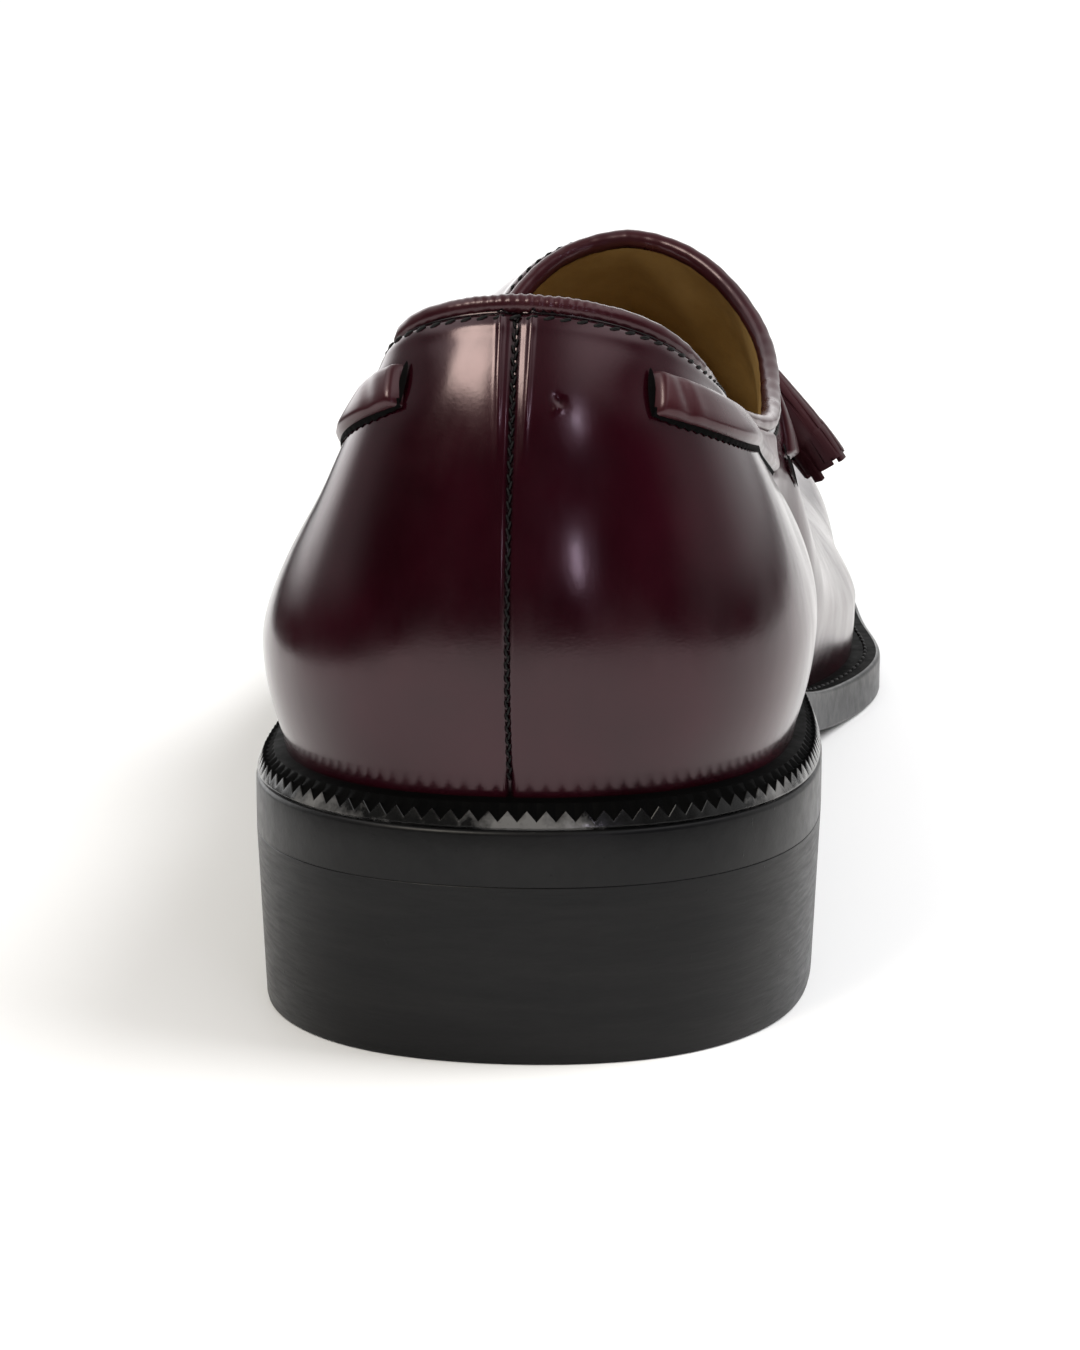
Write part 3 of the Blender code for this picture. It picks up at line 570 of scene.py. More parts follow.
def bumped(tree, base, layers):
    """Chain of bump layers: height source, strength, and distance in metres."""
    last_normal = None
    for height, strength, distance in layers:
        node = tree.nodes.new("ShaderNodeBump")
        node.inputs["Strength"].default_value = strength
        node.inputs["Distance"].default_value = distance
        tree.links.new(height, node.inputs["Height"])
        if last_normal:
            tree.links.new(last_normal, node.inputs["Normal"])
        last_normal = node.outputs["Normal"]
    tree.links.new(last_normal, base.inputs["Normal"])


SEAM_AND_SHADE_BLACK = (0.0015, 0.0010, 0.0012)


def leather_look(name, deep, bright, rough):
    """Polished calf: cloudy burgundy, fine grain, faint brush lines, black where the skin is marked
    dark: painted shade under the bead and at the apron ridge's foot, and the back seam's groove.
    """
    m, tree, base = shader(name, "burgundy_leather", deep, rough[0], Coat_Weight=0.20, Coat_IOR=1.5,
                           Coat_Roughness=0.14, Specular_IOR_Level=0.42,
                           Specular_Tint=(1, 0.72, 0.77, 1))
    cloud = noise(tree, 55, 3, 0.5)
    colour = mixed(tree, ramp(tree, cloud, 0.35, 0.68, 0, 1), deep, bright)
    seam_and_shade = tree.nodes.new("ShaderNodeAttribute")
    seam_and_shade.attribute_name = "dark"
    colour = mixed(tree, seam_and_shade.outputs["Fac"], colour, SEAM_AND_SHADE_BLACK)
    tree.links.new(colour, base.inputs["Base Color"])
    smear = noise(tree, 180, 5, 0.6, (1, 1, 0.35))
    tree.links.new(ramp(tree, smear, 0.35, 0.7, rough[0], rough[1]), base.inputs["Roughness"])
    bumped(tree, base, [
        (noise(tree, 38, 2, 0.4), 0.30, 0.0006),
        (noise(tree, 240, 3, 0.5, (1, 1, 0.5)), 0.10, 0.0003),
        (noise(tree, 2600, 2, 0.6), 0.08, 0.00008),
    ])
    return m


burgundy = leather_look("burgundy leather fine", (0.0095, 0.0005, 0.0020), (0.020, 0.0018, 0.0048),
                        (0.15, 0.25))
burgundy_trim = leather_look("burgundy trim", (0.018, 0.0020, 0.0040), (0.036, 0.0062, 0.0085),
                             (0.26, 0.38))

tassel_look = leather_look("tassel leather", (0.016, 0.0020, 0.0036), (0.030, 0.0055, 0.0075),
                           (0.40, 0.55))
base = tassel_look.node_tree.nodes["Principled BSDF"]
base.inputs["Coat Weight"].default_value = 0
base.inputs["Specular IOR Level"].default_value = 0.30

thread, tree, base = shader("black thread", "burgundy_leather", (0.002, 0.002, 0.002), 0.55,
                            Specular_IOR_Level=0.25)
bumped(tree, base, [(noise(tree, 3500, 2, 0.6), 0.4, 0.0001)])

# Black for cut edges, and painted shade: the shadow beside the laces, inside the slits and between the
# tassel's strips
gap_black, tree, base = shader("black cut edge and painted shade", "burgundy_leather", (0.0010, 0.0008, 0.0008), 0.85,
                               Specular_IOR_Level=0.08)
bumped(tree, base, [(noise(tree, 1500, 3, 0.6), 0.4, 0.0002)])

tan, tree, base = shader("tan lining fine", "tan_lining", (0.19, 0.12, 0.05), 0.6)
cloud = ramp(tree, noise(tree, 90, 5, 0.6), 0.3, 0.7, 0, 1)
tree.links.new(mixed(tree, cloud, (0.30, 0.18, 0.052), (0.43, 0.28, 0.10)), base.inputs["Base Color"])
bumped(tree, base, [(noise(tree, 900, 4, 0.6), 0.35, 0.0002), (noise(tree, 60, 2, 0.5), 0.3, 0.0006)])


def black_look(name, slot, colour, light, rough, lines, level=0.20, patch=(0.42, 0.75)):
    """Edge finish: black, lighter in patches, with fine grain along the lines. The patches are
    wear on the heel and the sole's edge, and on the band painted glints over worn polish.
    """
    m, tree, base = shader(name, slot, colour, rough[0], Specular_IOR_Level=level)
    wear_and_glint = noise(tree, 60, 6, 0.65, lines)
    fine = noise(tree, 420, 4, 0.6, lines)
    shade = mixed(tree, ramp(tree, wear_and_glint, *patch, 0, 1), colour, light)
    tree.links.new(shade, base.inputs["Base Color"])
    tree.links.new(ramp(tree, fine, 0.3, 0.75, rough[0], rough[1]), base.inputs["Roughness"])
    speck = ramp(tree, noise(tree, 900, 2, 0.5), 0.72, 0.80, 0, 1)
    bumped(tree, base, [(fine, 0.10, 0.0003), (wear_and_glint, 0.15, 0.0006), (speck, 0.25, 0.0001)])
    return m


INK, WORN_INK = (0.0030, 0.0030, 0.0034), (0.0070, 0.0067, 0.0068)
EVEN = (1, 1, 1)
heel_look = black_look("black heel fine", "black_heel_stack", INK, WORN_INK, (0.32, 0.46), (0.6, 0.6, 5))
edge_look = black_look("black edge fine", "black_sole_edge", INK, WORN_INK, (0.28, 0.40), EVEN)
# The band's lighter patches are painted glints, the light that the slanted teeth catch, over worn polish
band_look = black_look("black band fine", "black_sole_edge", (0.005, 0.005, 0.005), (0.11, 0.107, 0.104),
                       (0.12, 0.30), EVEN, 0.5, (0.53, 0.63))
# The ledge is the same black dressing, darker: painted shade under the upper's overhang
ledge_shade_look = black_look("black ledge painted shade", "black_sole_edge", (0.0008, 0.0008, 0.0008),
                        (0.0016, 0.0016, 0.0016), (0.60, 0.80), EVEN, 0.04)

# The upper

SEAM_PATH = spline([s.section for s in APRON], [s[1:] for s in APRON])

# Places on the skin where it creases: both ends as section and height, half-width, and
# how far it rises or sinks there.
Crease = namedtuple("Crease", "name start end width rise")
CREASES = [
    Crease("flex 1", (10.9, 0.52), (12.0, 0.90), 0.0028, -0.00035),
    Crease("flex 1 roll", (11.1, 0.50), (12.3, 0.90), 0.0026, 0.00025),
    Crease("flex 2", (11.5, 0.55), (12.6, 0.86), 0.0024, -0.00025),
    Crease("quarter pull", (6.2, 0.45), (7.4, 0.80), 0.0035, -0.00030),
]
CREASES += [row._replace(start=(-row.start[0], row.start[1]), end=(-row.end[0], row.end[1]))
            for row in CREASES]
CREASES += [
    Crease("collar dimple", (1.3, 0.93), (2.2, 0.86), 0.0016, -0.00020),
    Crease("counter soft", (-1.6, 0.62), (-2.8, 0.70), 0.0050, -0.00025),
    Crease("nick", (0.285, 0.755), (0.300, 0.762), 0.0006, -0.00050),
    Crease("nick rim", (0.262, 0.742), (0.285, 0.736), 0.0005, 0.00022),
]


def relief(u, v, p):
    """Rise of the fine skin over the last, and where it is darkened: painted shade under the bead and
    at the foot of the apron ridge, and darker along the back seam's groove.
    """
    _, along_v, normal = slopes(u, v)
    steps = np.linalg.norm(np.diff(p, axis=1), axis=2)
    from_top = np.concatenate([np.cumsum(steps[:, ::-1], axis=1)[:, ::-1], np.zeros((len(p), 1))], 1)
    steps = np.linalg.norm(np.diff(p, axis=0), axis=2)
    from_back = np.concatenate([np.zeros((1, p.shape[1])), np.cumsum(steps, axis=0)])
    from_back -= from_back[len(p) // 2]
    rear = np.abs(u) < THROAT + 0.01
    rise = np.zeros_like(v)
    dark = np.zeros_like(v)

    # back seam: a stitched groove between two raised edges that fade downwards
    seam_half = 0.00034 + 0.00020 * bump(from_top, 0.012)
    rise -= SEAM_GROOVE * bump(from_back, seam_half)
    dark = np.maximum(dark, np.clip(1.6 * bump(from_back, seam_half * 1.05) - 0.35, 0, 1))
    fade = np.clip(1 - from_top / SEAM_FADE, 0, 1)**0.7
    edge_at = 0.0018 - 0.0004 * (1 - fade)
    rise += fade * (0.00030 * bump(np.abs(from_back) - edge_at, 0.00028)
                    - 0.00014 * bump(np.abs(from_back) - edge_at * 0.55, 0.00045))

    # collar: the skin turns in under the bead, with painted shade darkening the crevice under it
    rise = np.where(rear, rise - 0.00050 * bump(from_top - 0.0004, 0.00050), rise)
    line = np.clip(1.5 - np.abs(from_top - 0.0004) / 0.00045, 0, 1)
    dark = np.where(rear, np.maximum(dark, line), dark)
    rise = np.where(rear, rise + 0.00012 * bump(from_top - 0.0022, 0.0009), rise)

    # apron: a puckered ridge, with painted shade darkening its foot on both sides
    first = APRON[0].section
    row = np.maximum(np.abs(u[:, 0]), first)
    at, grow = SEAM_PATH(row).T
    grow = np.where(np.abs(u[:, 0]) < first, 0, np.clip(grow, 0, 1))[:, None]
    gap = (v - at[:, None]) * np.linalg.norm(along_v, axis=-1)
    path = last(u[:, 0], np.where(np.abs(u[:, 0]) < first, APRON[0].up, at))
    run = running(path)[:, None]
    pucker = 1 + 0.16 * np.cos(2 * np.pi * run / PUCKER_PITCH)
    rise += grow * (SEAM_RISE * pucker * np.exp(-np.abs(gap / RIDGE_HALF)**2.6)
                    - 0.00022 * bump(np.abs(gap) - 0.0017, 0.0006))
    dark = np.maximum(dark, grow * 0.75 * bump(np.abs(gap) - 0.0013, 0.00035))

    for crease in CREASES:
        ends = last(*np.array([crease.start, crease.end]).T)
        way = unit(ends[1] - ends[0])
        d = p - ends.mean(0)
        along = (d * way).sum(-1) / (np.linalg.norm(ends[1] - ends[0]) / 2)
        across = np.linalg.norm(d - way * (d * way).sum(-1, keepdims=True), axis=-1)
        rise += crease.rise * np.exp(-np.abs(along)**2.5) * bump(across, crease.width)

    # the skin dips at the slits where the lace goes through
    for lace in LACES:
        for spot in ([0, -1] if lace.knot is None else [0]):
            middle = last(np.array([lace.sections[spot]]), np.array([lace.up[spot]]))[0]
            d = np.linalg.norm(p - middle, axis=-1)
            rise -= SLIT_DIP * bump(d, 0.0034)
    return rise, dark, normal


def make_skin():
    rear = np.concatenate([np.linspace(0, 0.30, 22), np.linspace(0.30, 5.4, 176)[1:]])
    front = np.concatenate([np.linspace(5.4, 14, 112)[1:], np.linspace(14, 16, 34)[1:]])
    u = np.concatenate([rear, front])
    u = np.concatenate([-u[::-1], u[1:]])
    low, high, rim = np.linspace(0, 0.5, 36), np.linspace(0.5, 0.93, 46), np.linspace(0.93, 1, 16)
    v = np.concatenate([low, high[1:], rim[1:]])
    u, v = np.broadcast_arrays(u[:, None], v[None])
    p = last(u, v)
    rise, dark, normal = relief(u, v, p)
    front_top = (np.abs(u) > THROAT) & (v == 1)
    normal = np.where(front_top[..., None], unit(normal + normal[::-1]), normal)
    rise = np.where(front_top, (rise + rise[::-1]) / 2, rise)
    points = p + normal * rise[..., None]
    points[:, 0] -= [0, 0, 2.5 * FIT]
    return piece("upper_skin", points, quads(*v.shape), burgundy, ["upper"], dark=dark)


def make_lining():
    u = np.concatenate([np.linspace(0, 9, 90), np.linspace(9, 15.9, 60)[1:]])
    u = np.concatenate([-u[::-1], u[1:]])
    v = np.linspace(0, 1, 44)
    u, v = np.broadcast_arrays(u[:, None], v[None])
    p, normal = last(u, v), slopes(u, v)[2]
    points = p - normal * WALL
    return piece("upper_lining", points, quads(*v.shape)[:, ::-1], tan, ["upper"])


def make_bead():
    u = np.linspace(-THROAT, THROAT, 901)[1:]
    line = last(u, 1 + 0 * u)
    around = unit(np.roll(line, -1, 0) - np.roll(line, 1, 0))
    _, up, out = slopes(u, 1 + 0 * u)
    up = unit(up - around * (up * around).sum(-1, keepdims=True))
    middle = line - out * (WALL / 2 - BEAD_LIFT) + up * BEAD_RADIUS * 0.75
    turn = circle(16)
    wrinkle = 0.03 * np.sin(u * 23) * np.sin(u * 7.1) + 0.07 * bump(u - 0.12, 0.45) * np.sin(u * 95)
    wide = (BEAD_RADIUS + BEAD_LIFT) * (1 + wrinkle)[:, None, None]
    oval = np.cross(around, up)[:, None] * np.cos(turn) * 1.12 + up[:, None] * np.sin(turn)
    points = middle[:, None] + wide * oval
    piece("bead", points, quads(len(u), 16, True, True), burgundy_trim, ["topline_bead"])

    # thread under the bead
    u = np.linspace(-8.8, 8.8, 700)
    drop = 0.0013 / np.linalg.norm(slopes(u, 0.99 + 0 * u)[1], axis=-1)
    middle, along, out = spaced(u, 1 - drop, COLLAR_STITCH.pitch, 0.00002)
    slant = unit(along + 0.35 * np.cross(out, along))
    stitches("collar_thread", middle, slant, out, COLLAR_STITCH, thread)


def make_back_thread():
    v = np.linspace(0.02, 0.975, 400)
    middle, along, out = spaced(0 * v, v, BACK_STITCH.pitch, -0.0002)
    side = np.cross(along, out)
    sign = np.where(np.arange(len(middle)) % 2, 1.0, -1.0)[:, None]
    wide = (0.00010 + 0.00010 * np.linspace(0, 1, len(middle))**4)[:, None]
    stitches("back_thread", middle + side * wide * sign, unit(along + side * sign * 0.32), out,
             BACK_STITCH, thread)


# Lace, knot and tassels

# Places across a strip, from one edge to the other, close together where it rounds over
CROSS = np.array([-1, -0.985, -0.94, -0.84, -0.62, -0.3, 0, 0.3, 0.62, 0.84, 0.94, 0.985, 1])


def band(name, u, v, tilt, end_dives, folds, swaps):
    """Flat leather strip along the skin with soft edges. It dives into a slit where it starts,
    and where it ends if end_dives is true."""
    way = unit(np.gradient(last(u, v), axis=0))
    across = np.cross(slopes(u, v)[2], way)
    rows = [walk(u, v, across, s * STRAP_WIDTH / 2) for s in CROSS]
    base = np.stack([last(a, b) for a, b in rows], 1)
    normal = np.stack([slopes(a, b)[2] for a, b in rows], 1)
    run = running(base[:, 6])
    crown = (1 - np.abs(CROSS)**7)**0.5 * (1 + tilt * CROSS) * (1 - 0.06 * CROSS**2)
    dive = ease(0.30 + run / DIVE_RUN)
    if end_dives:
        dive *= ease(0.30 + (run[-1] - run) / DIVE_RUN)
    lift = STRAP_THICKNESS * dive[:, None] * crown - DIVE_DEPTH * (1 - dive[:, None])
    for at, wide, rise in folds:
        skew = run[:, None] + 0.0009 * CROSS
        lift = lift + rise * bump(skew - at, wide) * (1 - np.abs(CROSS)**4)
    top = base + normal * lift[..., None]
    under = base - normal * (FIT + DIVE_DEPTH * (1 - dive))[:, None, None]
    ring = np.concatenate([top, under[:, -2:0:-1]], 1)
    return piece(name, ring, quads(len(u), ring.shape[1], False, True), burgundy_trim, swaps)


def serrated(name, u, v, side):
    """Black pinked strip along one side of a lace: the lace's black cut edge, and painted shadow of the gap
    under it on the skin beside it.
    """
    way = unit(np.gradient(last(u, v), axis=0))
    across = np.cross(slopes(u, v)[2], way)
    run = running(last(u, v))
    tooth = np.abs((run / PINKING_PITCH) % 1 * 2 - 1)
    taper = np.clip(np.minimum(run, run[-1] - run) / 0.004, 0, 1)**0.6
    reach = (-0.0009 + 0 * run, 0.00015 * taper, (0.00042 + 0.00026 * tooth) * taper)
    rows = [walk(u, v, across, side * (STRAP_WIDTH / 2 + gap)) for gap in reach]
    lifts = (0.0006, 0.00045, 0.00012)
    points = np.stack([off(a, b, h + 0 * a) for (a, b), h in zip(rows, lifts)], 1)
    return piece(name, points, quads(len(u), 3), gap_black)


def make_slit(row):
    """Black sheet just off the skin over a slot, painted shade of the slot, pointed at both ends."""
    t = np.linspace(0, 1, 24)
    u = row.start[0] + (row.end[0] - row.start[0]) * t
    v = row.start[1] + (row.end[1] - row.start[1]) * t
    way = unit(np.gradient(last(u, v), axis=0))
    across = np.cross(slopes(u, v)[2], way)
    half = row.width / 2 * np.sin(np.pi * np.clip(t, 0.001, 0.999))**0.5
    rows = [walk(u, v, across, s * half) for s in (-1, 0, 1)]
    points = np.stack([off(a, b, SLIT_LIFT + 0 * a) for a, b in rows], 1)
    return piece(row.name, points, quads(len(t), 3), gap_black)


def lace_path(row, count):
    spots = list(zip(row.sections, row.up))
    if row.knot is not None:
        spots.append(beside_knot(np.sign(row.sections[0]), row.knot, 3 * FIT))
    return spline(np.linspace(0, 1, len(spots)), spots)(np.linspace(0, 1, count)).T


# Folds of a lace: how far along it, half-width, and rise
FOLDS = {
    "lace_medial_rear": [(0.0020, 0.0008, 0.00015), (0.0036, 0.0007, -0.00025), (0.0050, 0.0009, 0.00015)],
    "lace_lateral_rear": [(0.0025, 0.0009, 0.00010), (0.0042, 0.0008, -0.00015)],
}

# Slits where the lace goes through: both ends as section and height, and width
Slit = namedtuple("Slit", "name start end width")
SLITS = [
    Slit("slit_medial_rear", (0.945, 0.880), (0.925, 0.758), 0.0010),
    Slit("slit_medial_front", (4.72, 0.90), (5.05, 0.72), 0.0006),
    Slit("slit_lateral_rear", (-0.790, 0.878), (-0.780, 0.764), 0.0010),
    Slit("slit_lateral_front", (-4.72, 0.92), (-5.05, 0.76), 0.0006),
    Slit("slit_medial_vamp", (7.35, 0.520), (7.95, 0.405), 0.0012),
    Slit("slit_lateral_vamp", (-7.35, 0.520), (-7.95, 0.405), 0.0012),
]


def make_laces():
    for row in LACES:
        side = -1.0 if row.sections[0] > 0 else 1.0
        u, v = lace_path(row, 110)
        folds = FOLDS.get(row.name, ())
        band(row.name + "_fine", u, v, 0.22 * side, row.knot is None, folds, [row.name])
        u, v = lace_path(row, 400)
        serrated(row.name + "_edge", u, v, side)
    for row in SLITS:
        make_slit(row)


def make_knot():
    """Three turns of the lace side by side over the crest."""
    count = 41
    side = np.linspace(1, -1, count) * KNOT_WIDTH / 2
    reach = np.abs(np.linspace(-1, 1, count))
    c, s = np.cos(circle(20)), np.sin(circle(20))
    for k, share in enumerate((-0.68, 0.0, 0.68)):
        u, v = from_crest(share, side)
        line = off(u, v, KNOT_THICKNESS * 0.48 * (1 - 0.35 * reach**6))
        _, across, out = frames(line, slopes(u, v)[2])
        wide = KNOT_LENGTH * 0.175 * (1 - 0.30 * reach**5)[:, None, None]
        thick = KNOT_THICKNESS * 0.50 * (1 - 0.55 * reach**8)[:, None, None]
        points = line[:, None] + wide * across[:, None] * np.sign(c) * np.abs(c)**0.7
        points = points + thick * out[:, None] * np.sign(s) * np.abs(s)**0.8
        thing = closed_piece(f"knot_turn_{k}", points, burgundy_trim)
        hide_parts("knot")


def make_tassel(row):
    """Wrapped cap, and cut strips round a core."""
    start = beside_knot(np.sign(row.sections[0]), row.knot, FIT + 0.15 * TASSEL_CAP_WIDTH)
    spots = [start] + list(zip(row.sections, row.up))
    path = spline(np.linspace(0, 1, len(spots)), [(*spot, lift) for spot, lift in zip(spots, row.lift)])
    u, v, lift = path(np.linspace(0, 1, 120)).T
    line = off(u, v, lift * TASSEL_THICKNESS)
    run, across, out = frames(line, slopes(u, v)[2])
    turn = circle(28)

    def at(d):
        """Middle, outward and sideways directions at distances along the tassel."""
        c, o, a = (np.stack([np.interp(d, run, table[:, k]) for k in range(3)], -1)
                   for table in (line, out, across))
        return c, unit(o), unit(a)

    def ovals(d, wide, thick):
        c, o, a = at(d)
        return c[:, None] + wide * a[:, None] * np.cos(turn) + thick * o[:, None] * np.sin(turn)

    # cap: four ridges of a wound strip that widen towards the fringe
    t = np.linspace(0, 1, 60)
    swell = np.interp(t, [0, 0.06, 0.3, 0.8, 0.97, 1], [0.25, 0.60, 0.84, 1.0, 0.96, 0.7])
    wound = 1 + 0.07 * np.abs(np.sin(np.pi * 4 * t)) - 0.035
    wide = (TASSEL_CAP_WIDTH / 2 * swell * wound)[:, None, None]
    thick = (TASSEL_THICKNESS / 2 * swell * wound)[:, None, None]
    points = ovals(t * TASSEL_CAP_LENGTH, wide, thick)
    piece(row.name + "_cap", points, quads(60, 28, False, True), tassel_look, [row.name])

    # fringe: strips side by side round an oval, each a little longer or shorter and wavy
    for k in range(TASSEL_STRIPS):
        phase = 2 * np.pi * (k + 0.5) / TASSEL_STRIPS
        end = TASSEL_LENGTH * (0.980 + 0.010 * np.sin(2.7 * k + 0.4) + 0.006 * np.cos(5.3 * k))
        d = np.linspace(TASSEL_CAP_LENGTH * 0.86, end, 26)
        t = (d - d[0]) / (d[-1] - d[0])
        spread = np.interp(t, [0, 0.15, 0.6, 1], [0.88, 0.98, 1.12, 1.25])
        spread = spread * TASSEL_END_WIDTH / TASSEL_CAP_WIDTH / 1.25
        spread = spread * (1 + 0.03 * np.sin(7 * t + k) * t)
        full = 1.0 + 0.55 * np.sin(1.9 * t) - 0.06 * t * (1 + np.sin(3.1 * k))
        c, o, a = at(d)
        wide = TASSEL_CAP_WIDTH / 2 * np.maximum(spread, 0.88)[:, None]
        thick = TASSEL_THICKNESS / 2 * full[:, None]
        middle = c + wide * a * np.cos(phase) + thick * o * np.sin(phase)
        middle += a * (0.0002 * np.sin(6 * t + 1.9 * k) * t)[:, None]
        outward = unit(a * np.cos(phase) / TASSEL_CAP_WIDTH + o * np.sin(phase) / TASSEL_THICKNESS)
        side = np.cross(outward, unit(np.gradient(middle, axis=0)))
        half = STRIP_HALF * (1 + 0.30 * t)[:, None] * (1 - 0.22 * np.abs(np.sin(phase)))
        corners = [(-1, -1), (-1, 0.6), (-0.75, 1), (0.75, 1), (1, 0.6), (1, -1)]
        points = [middle + side * half * x + outward * STRIP_THICKNESS * y for x, y in corners]
        closed_piece(f"{row.name}_strip_{k}", np.stack(points, 1), tassel_look)

    # core, so that no light shows through; it is black, painted shade between the strips
    d = np.linspace(TASSEL_CAP_LENGTH * 0.9, TASSEL_LENGTH * 0.93, 20)
    swell = np.interp(np.linspace(0, 1, 20), [0, 0.6, 1], [0.9, 1.12, 1.2])
    wide = (TASSEL_CAP_WIDTH / 2 * 0.86 * swell)[:, None, None]
    closed_piece(row.name + "_core", ovals(d, wide, TASSEL_THICKNESS / 2), gap_black)


# Sole and heel

def rungs(count, rows):
    """Faces that close a ring whose ends are at the front, and join its rows."""
    faces = quads(rows, count, False, True).tolist()
    for start in (0, (rows - 1) * count):
        for i in range(count // 2 - 1):
            face = [start + i, start + i + 1, start + count - 2 - i, start + count - 1 - i]
            faces.append(face if start else face[::-1])
    return faces


def round_edges(bottom, top, r):
    """Inset and height pairs of an edge with rounded corners."""
    turn = np.radians([0, 30, 60, 90])
    low = [(r * (1 - np.sin(a)), bottom + r * (1 - np.cos(a))) for a in turn]
    high = [(r * (1 - np.cos(a)), top - r * (1 - np.sin(a))) for a in turn]
    return low + high


def make_outsole():
    c = edge_run(LENGTH, 180)
    xy, _, ledge = sole_edge(c)
    low = 0.12 + 0.88 * ease((xy[:, 1] - HEEL_LENGTH) / 0.012)
    rings = []
    for k, (inset, height) in enumerate(round_edges(0, SOLE_THICKNESS, SOLE_ROUNDING)):
        share = low if k < 4 else 1
        rings.append(edge_ring(c, inset * share, lambda y: underside(y) + height * share))
    faces = rungs(len(c), len(rings))
    piece("outsole_fine", np.array(rings), faces, edge_look, ["outsole"], EDGE_SHARP)

    # the welt's top takes the darker ledge finish, painted shade under the upper's overhang
    rows = [(SOLE_ROUNDING, 0.00004), (ledge + WALL, 0.00006)]
    rows = [edge_ring(c, inset, lambda y: underside(y) + SOLE_THICKNESS + lift) for inset, lift in rows]
    piece("welt_ledge", np.array(rows), quads(2, len(c)), ledge_shade_look)

    # welt thread on the ledge, forward of the rand
    t = np.linspace(0, 1, 3000)
    for side, word in ((1, "medial"), (-1, "lateral")):
        xy, out, ledge = sole_edge(side * t)
        keep = xy[:, 1] > RAND_END - 0.012
        xy = (xy - out * (ledge * 0.52)[:, None])[keep]
        line = np.concatenate([xy, (underside(xy[:, 1]) + SOLE_THICKNESS + 0.00005)[:, None]], 1)
        run = running(line)
        at = np.arange(0, run[-1], WELT_STITCH.pitch)
        middle = np.stack([np.interp(at, run, line[:, k]) for k in range(3)], -1)
        upright = np.tile([0.0, 0, 1], (len(middle), 1))
        stitches(f"welt_thread_{word}", middle, unit(np.gradient(middle, axis=0)), upright, WELT_STITCH,
                 thread)


def make_heel():
    c = edge_run(HEEL_LENGTH + BREAST_HOLLOW, 120)
    count = len(c)
    pairs = [(HEEL_TAPER + 0.0004, 0.0), (HEEL_TAPER + 0.0001, 0.0002), (HEEL_TAPER, 0.0006)]
    seat = [(0.0, 0.00012), (0.00008, 0.00003)]
    rings = [edge_ring(c, inset, lambda y: 0 * y + height) for inset, height in pairs]
    rings += [edge_ring(c, inset, lambda y: underside(y) - gap) for inset, gap in seat]
    work = bmesh.new()
    spots = [[work.verts.new(p - [0, HEEL_CENTRE, 0]) for p in ring] for ring in rings]
    for low, high in zip(spots, spots[1:]):
        for i in range(count):
            work.faces.new((low[i - 1], low[i], high[i], high[i - 1]))
    for ring in (spots[0], spots[-1]):
        for i in range(count // 2):
            corners = dict.fromkeys([i, i + 1, count - 2 - i, count - 1 - i])
            work.faces.new([ring[k] for k in corners])
    bmesh.ops.recalc_face_normals(work, faces=work.faces)
    mesh = bpy.data.meshes.new("heel_fine")
    work.to_mesh(mesh)
    work.free()
    heel = bpy.data.objects.new("heel_fine", mesh)
    bpy.context.scene.collection.objects.link(heel)
    middle = HEEL_LENGTH + BREAST_RADIUS - BREAST_HOLLOW - HEEL_CENTRE
    bpy.ops.mesh.primitive_cylinder_add(vertices=240, radius=BREAST_RADIUS, depth=4 * HEEL_HEIGHT,
                                        location=(0, middle, HEEL_HEIGHT / 2))
    cutter = bpy.context.object
    cut = heel.modifiers.new("breast", "BOOLEAN")
    cut.object = cutter
    shape = bpy.data.meshes.new_from_object(heel.evaluated_get(bpy.context.evaluated_depsgraph_get()))
    heel.modifiers.clear()
    heel.data = shape
    bpy.data.objects.remove(cutter)
    shape.materials.clear()
    shape.materials.append(heel_look)
    shape.shade_smooth()
    shape.set_sharp_from_angle(angle=np.radians(EDGE_SHARP))
    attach(heel, "root")
    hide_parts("heel")


def make_rand():
    """Wheeled band whose teeth point up, and the flat ledge behind them."""
    length = EDGE_TOE * edge_run(RAND_END, 2)[-1]
    teeth = int(round(length / TOOTH_PITCH))
    c = edge_run(RAND_END, teeth * TOOTH_POINTS)
    phase = np.arange(len(c)) % TOOTH_POINTS / TOOTH_POINTS
    tip = np.abs(phase * 2 - 1)
    xy, out, ledge = sole_edge(c)
    y = xy[:, 1]
    base = underside(y) + SOLE_THICKNESS
    share = rand_at(y) / RAND_HEIGHT
    face = base + RAND_FACE * share
    depth = TOOTH_HEIGHT * (1 - tip) * share

    def ring(inset, height):
        return np.concatenate([xy - out * (inset + 0 * y)[:, None], height[:, None]], 1)

    band_rows = [
        ring(0.00060, base - 0.0001),
        ring(0.00045, base + 0.00012 * share),
        ring(0.00018, base + 0.00030 * share),
        ring(0.00020, base + 0.00050 * share),
        ring(0.00078 - 0.32 * depth, face - 0.00008 * share - depth),
    ]
    ledge_rows = [
        ring(0.00090 - 0.32 * depth, face - depth),
        ring(0.00115 + 0.6 * depth, face - 0.00020 * share),
        ring(0.6 * ledge, base + (0.55 * RAND_FACE + 0.45 * RAND_HEIGHT) * share),
        ring(ledge + WALL, base + RAND_HEIGHT * share),
    ]
    points = np.array(band_rows + ledge_rows)
    faces = quads(len(points), len(c))
    on_band = faces[:, 0] // len(c) < len(band_rows)
    piece("rand_band", points, faces[on_band], band_look, ["heel_rand"], TOOTH_SHARP)
    # the ledge takes the darker finish, painted shade at the foot of the upper
    piece("rand_ledge", points, faces[~on_band], ledge_shade_look, ["heel_rand"], TOOTH_SHARP)


make_skin()
make_lining()
make_bead()
make_back_thread()
make_laces()
make_knot()
for tassel in TASSELS:
    make_tassel(tassel)
make_outsole()
make_heel()
make_rand()
for spot in bpy.data.objects["insole"].material_slots:
    spot.material = tan

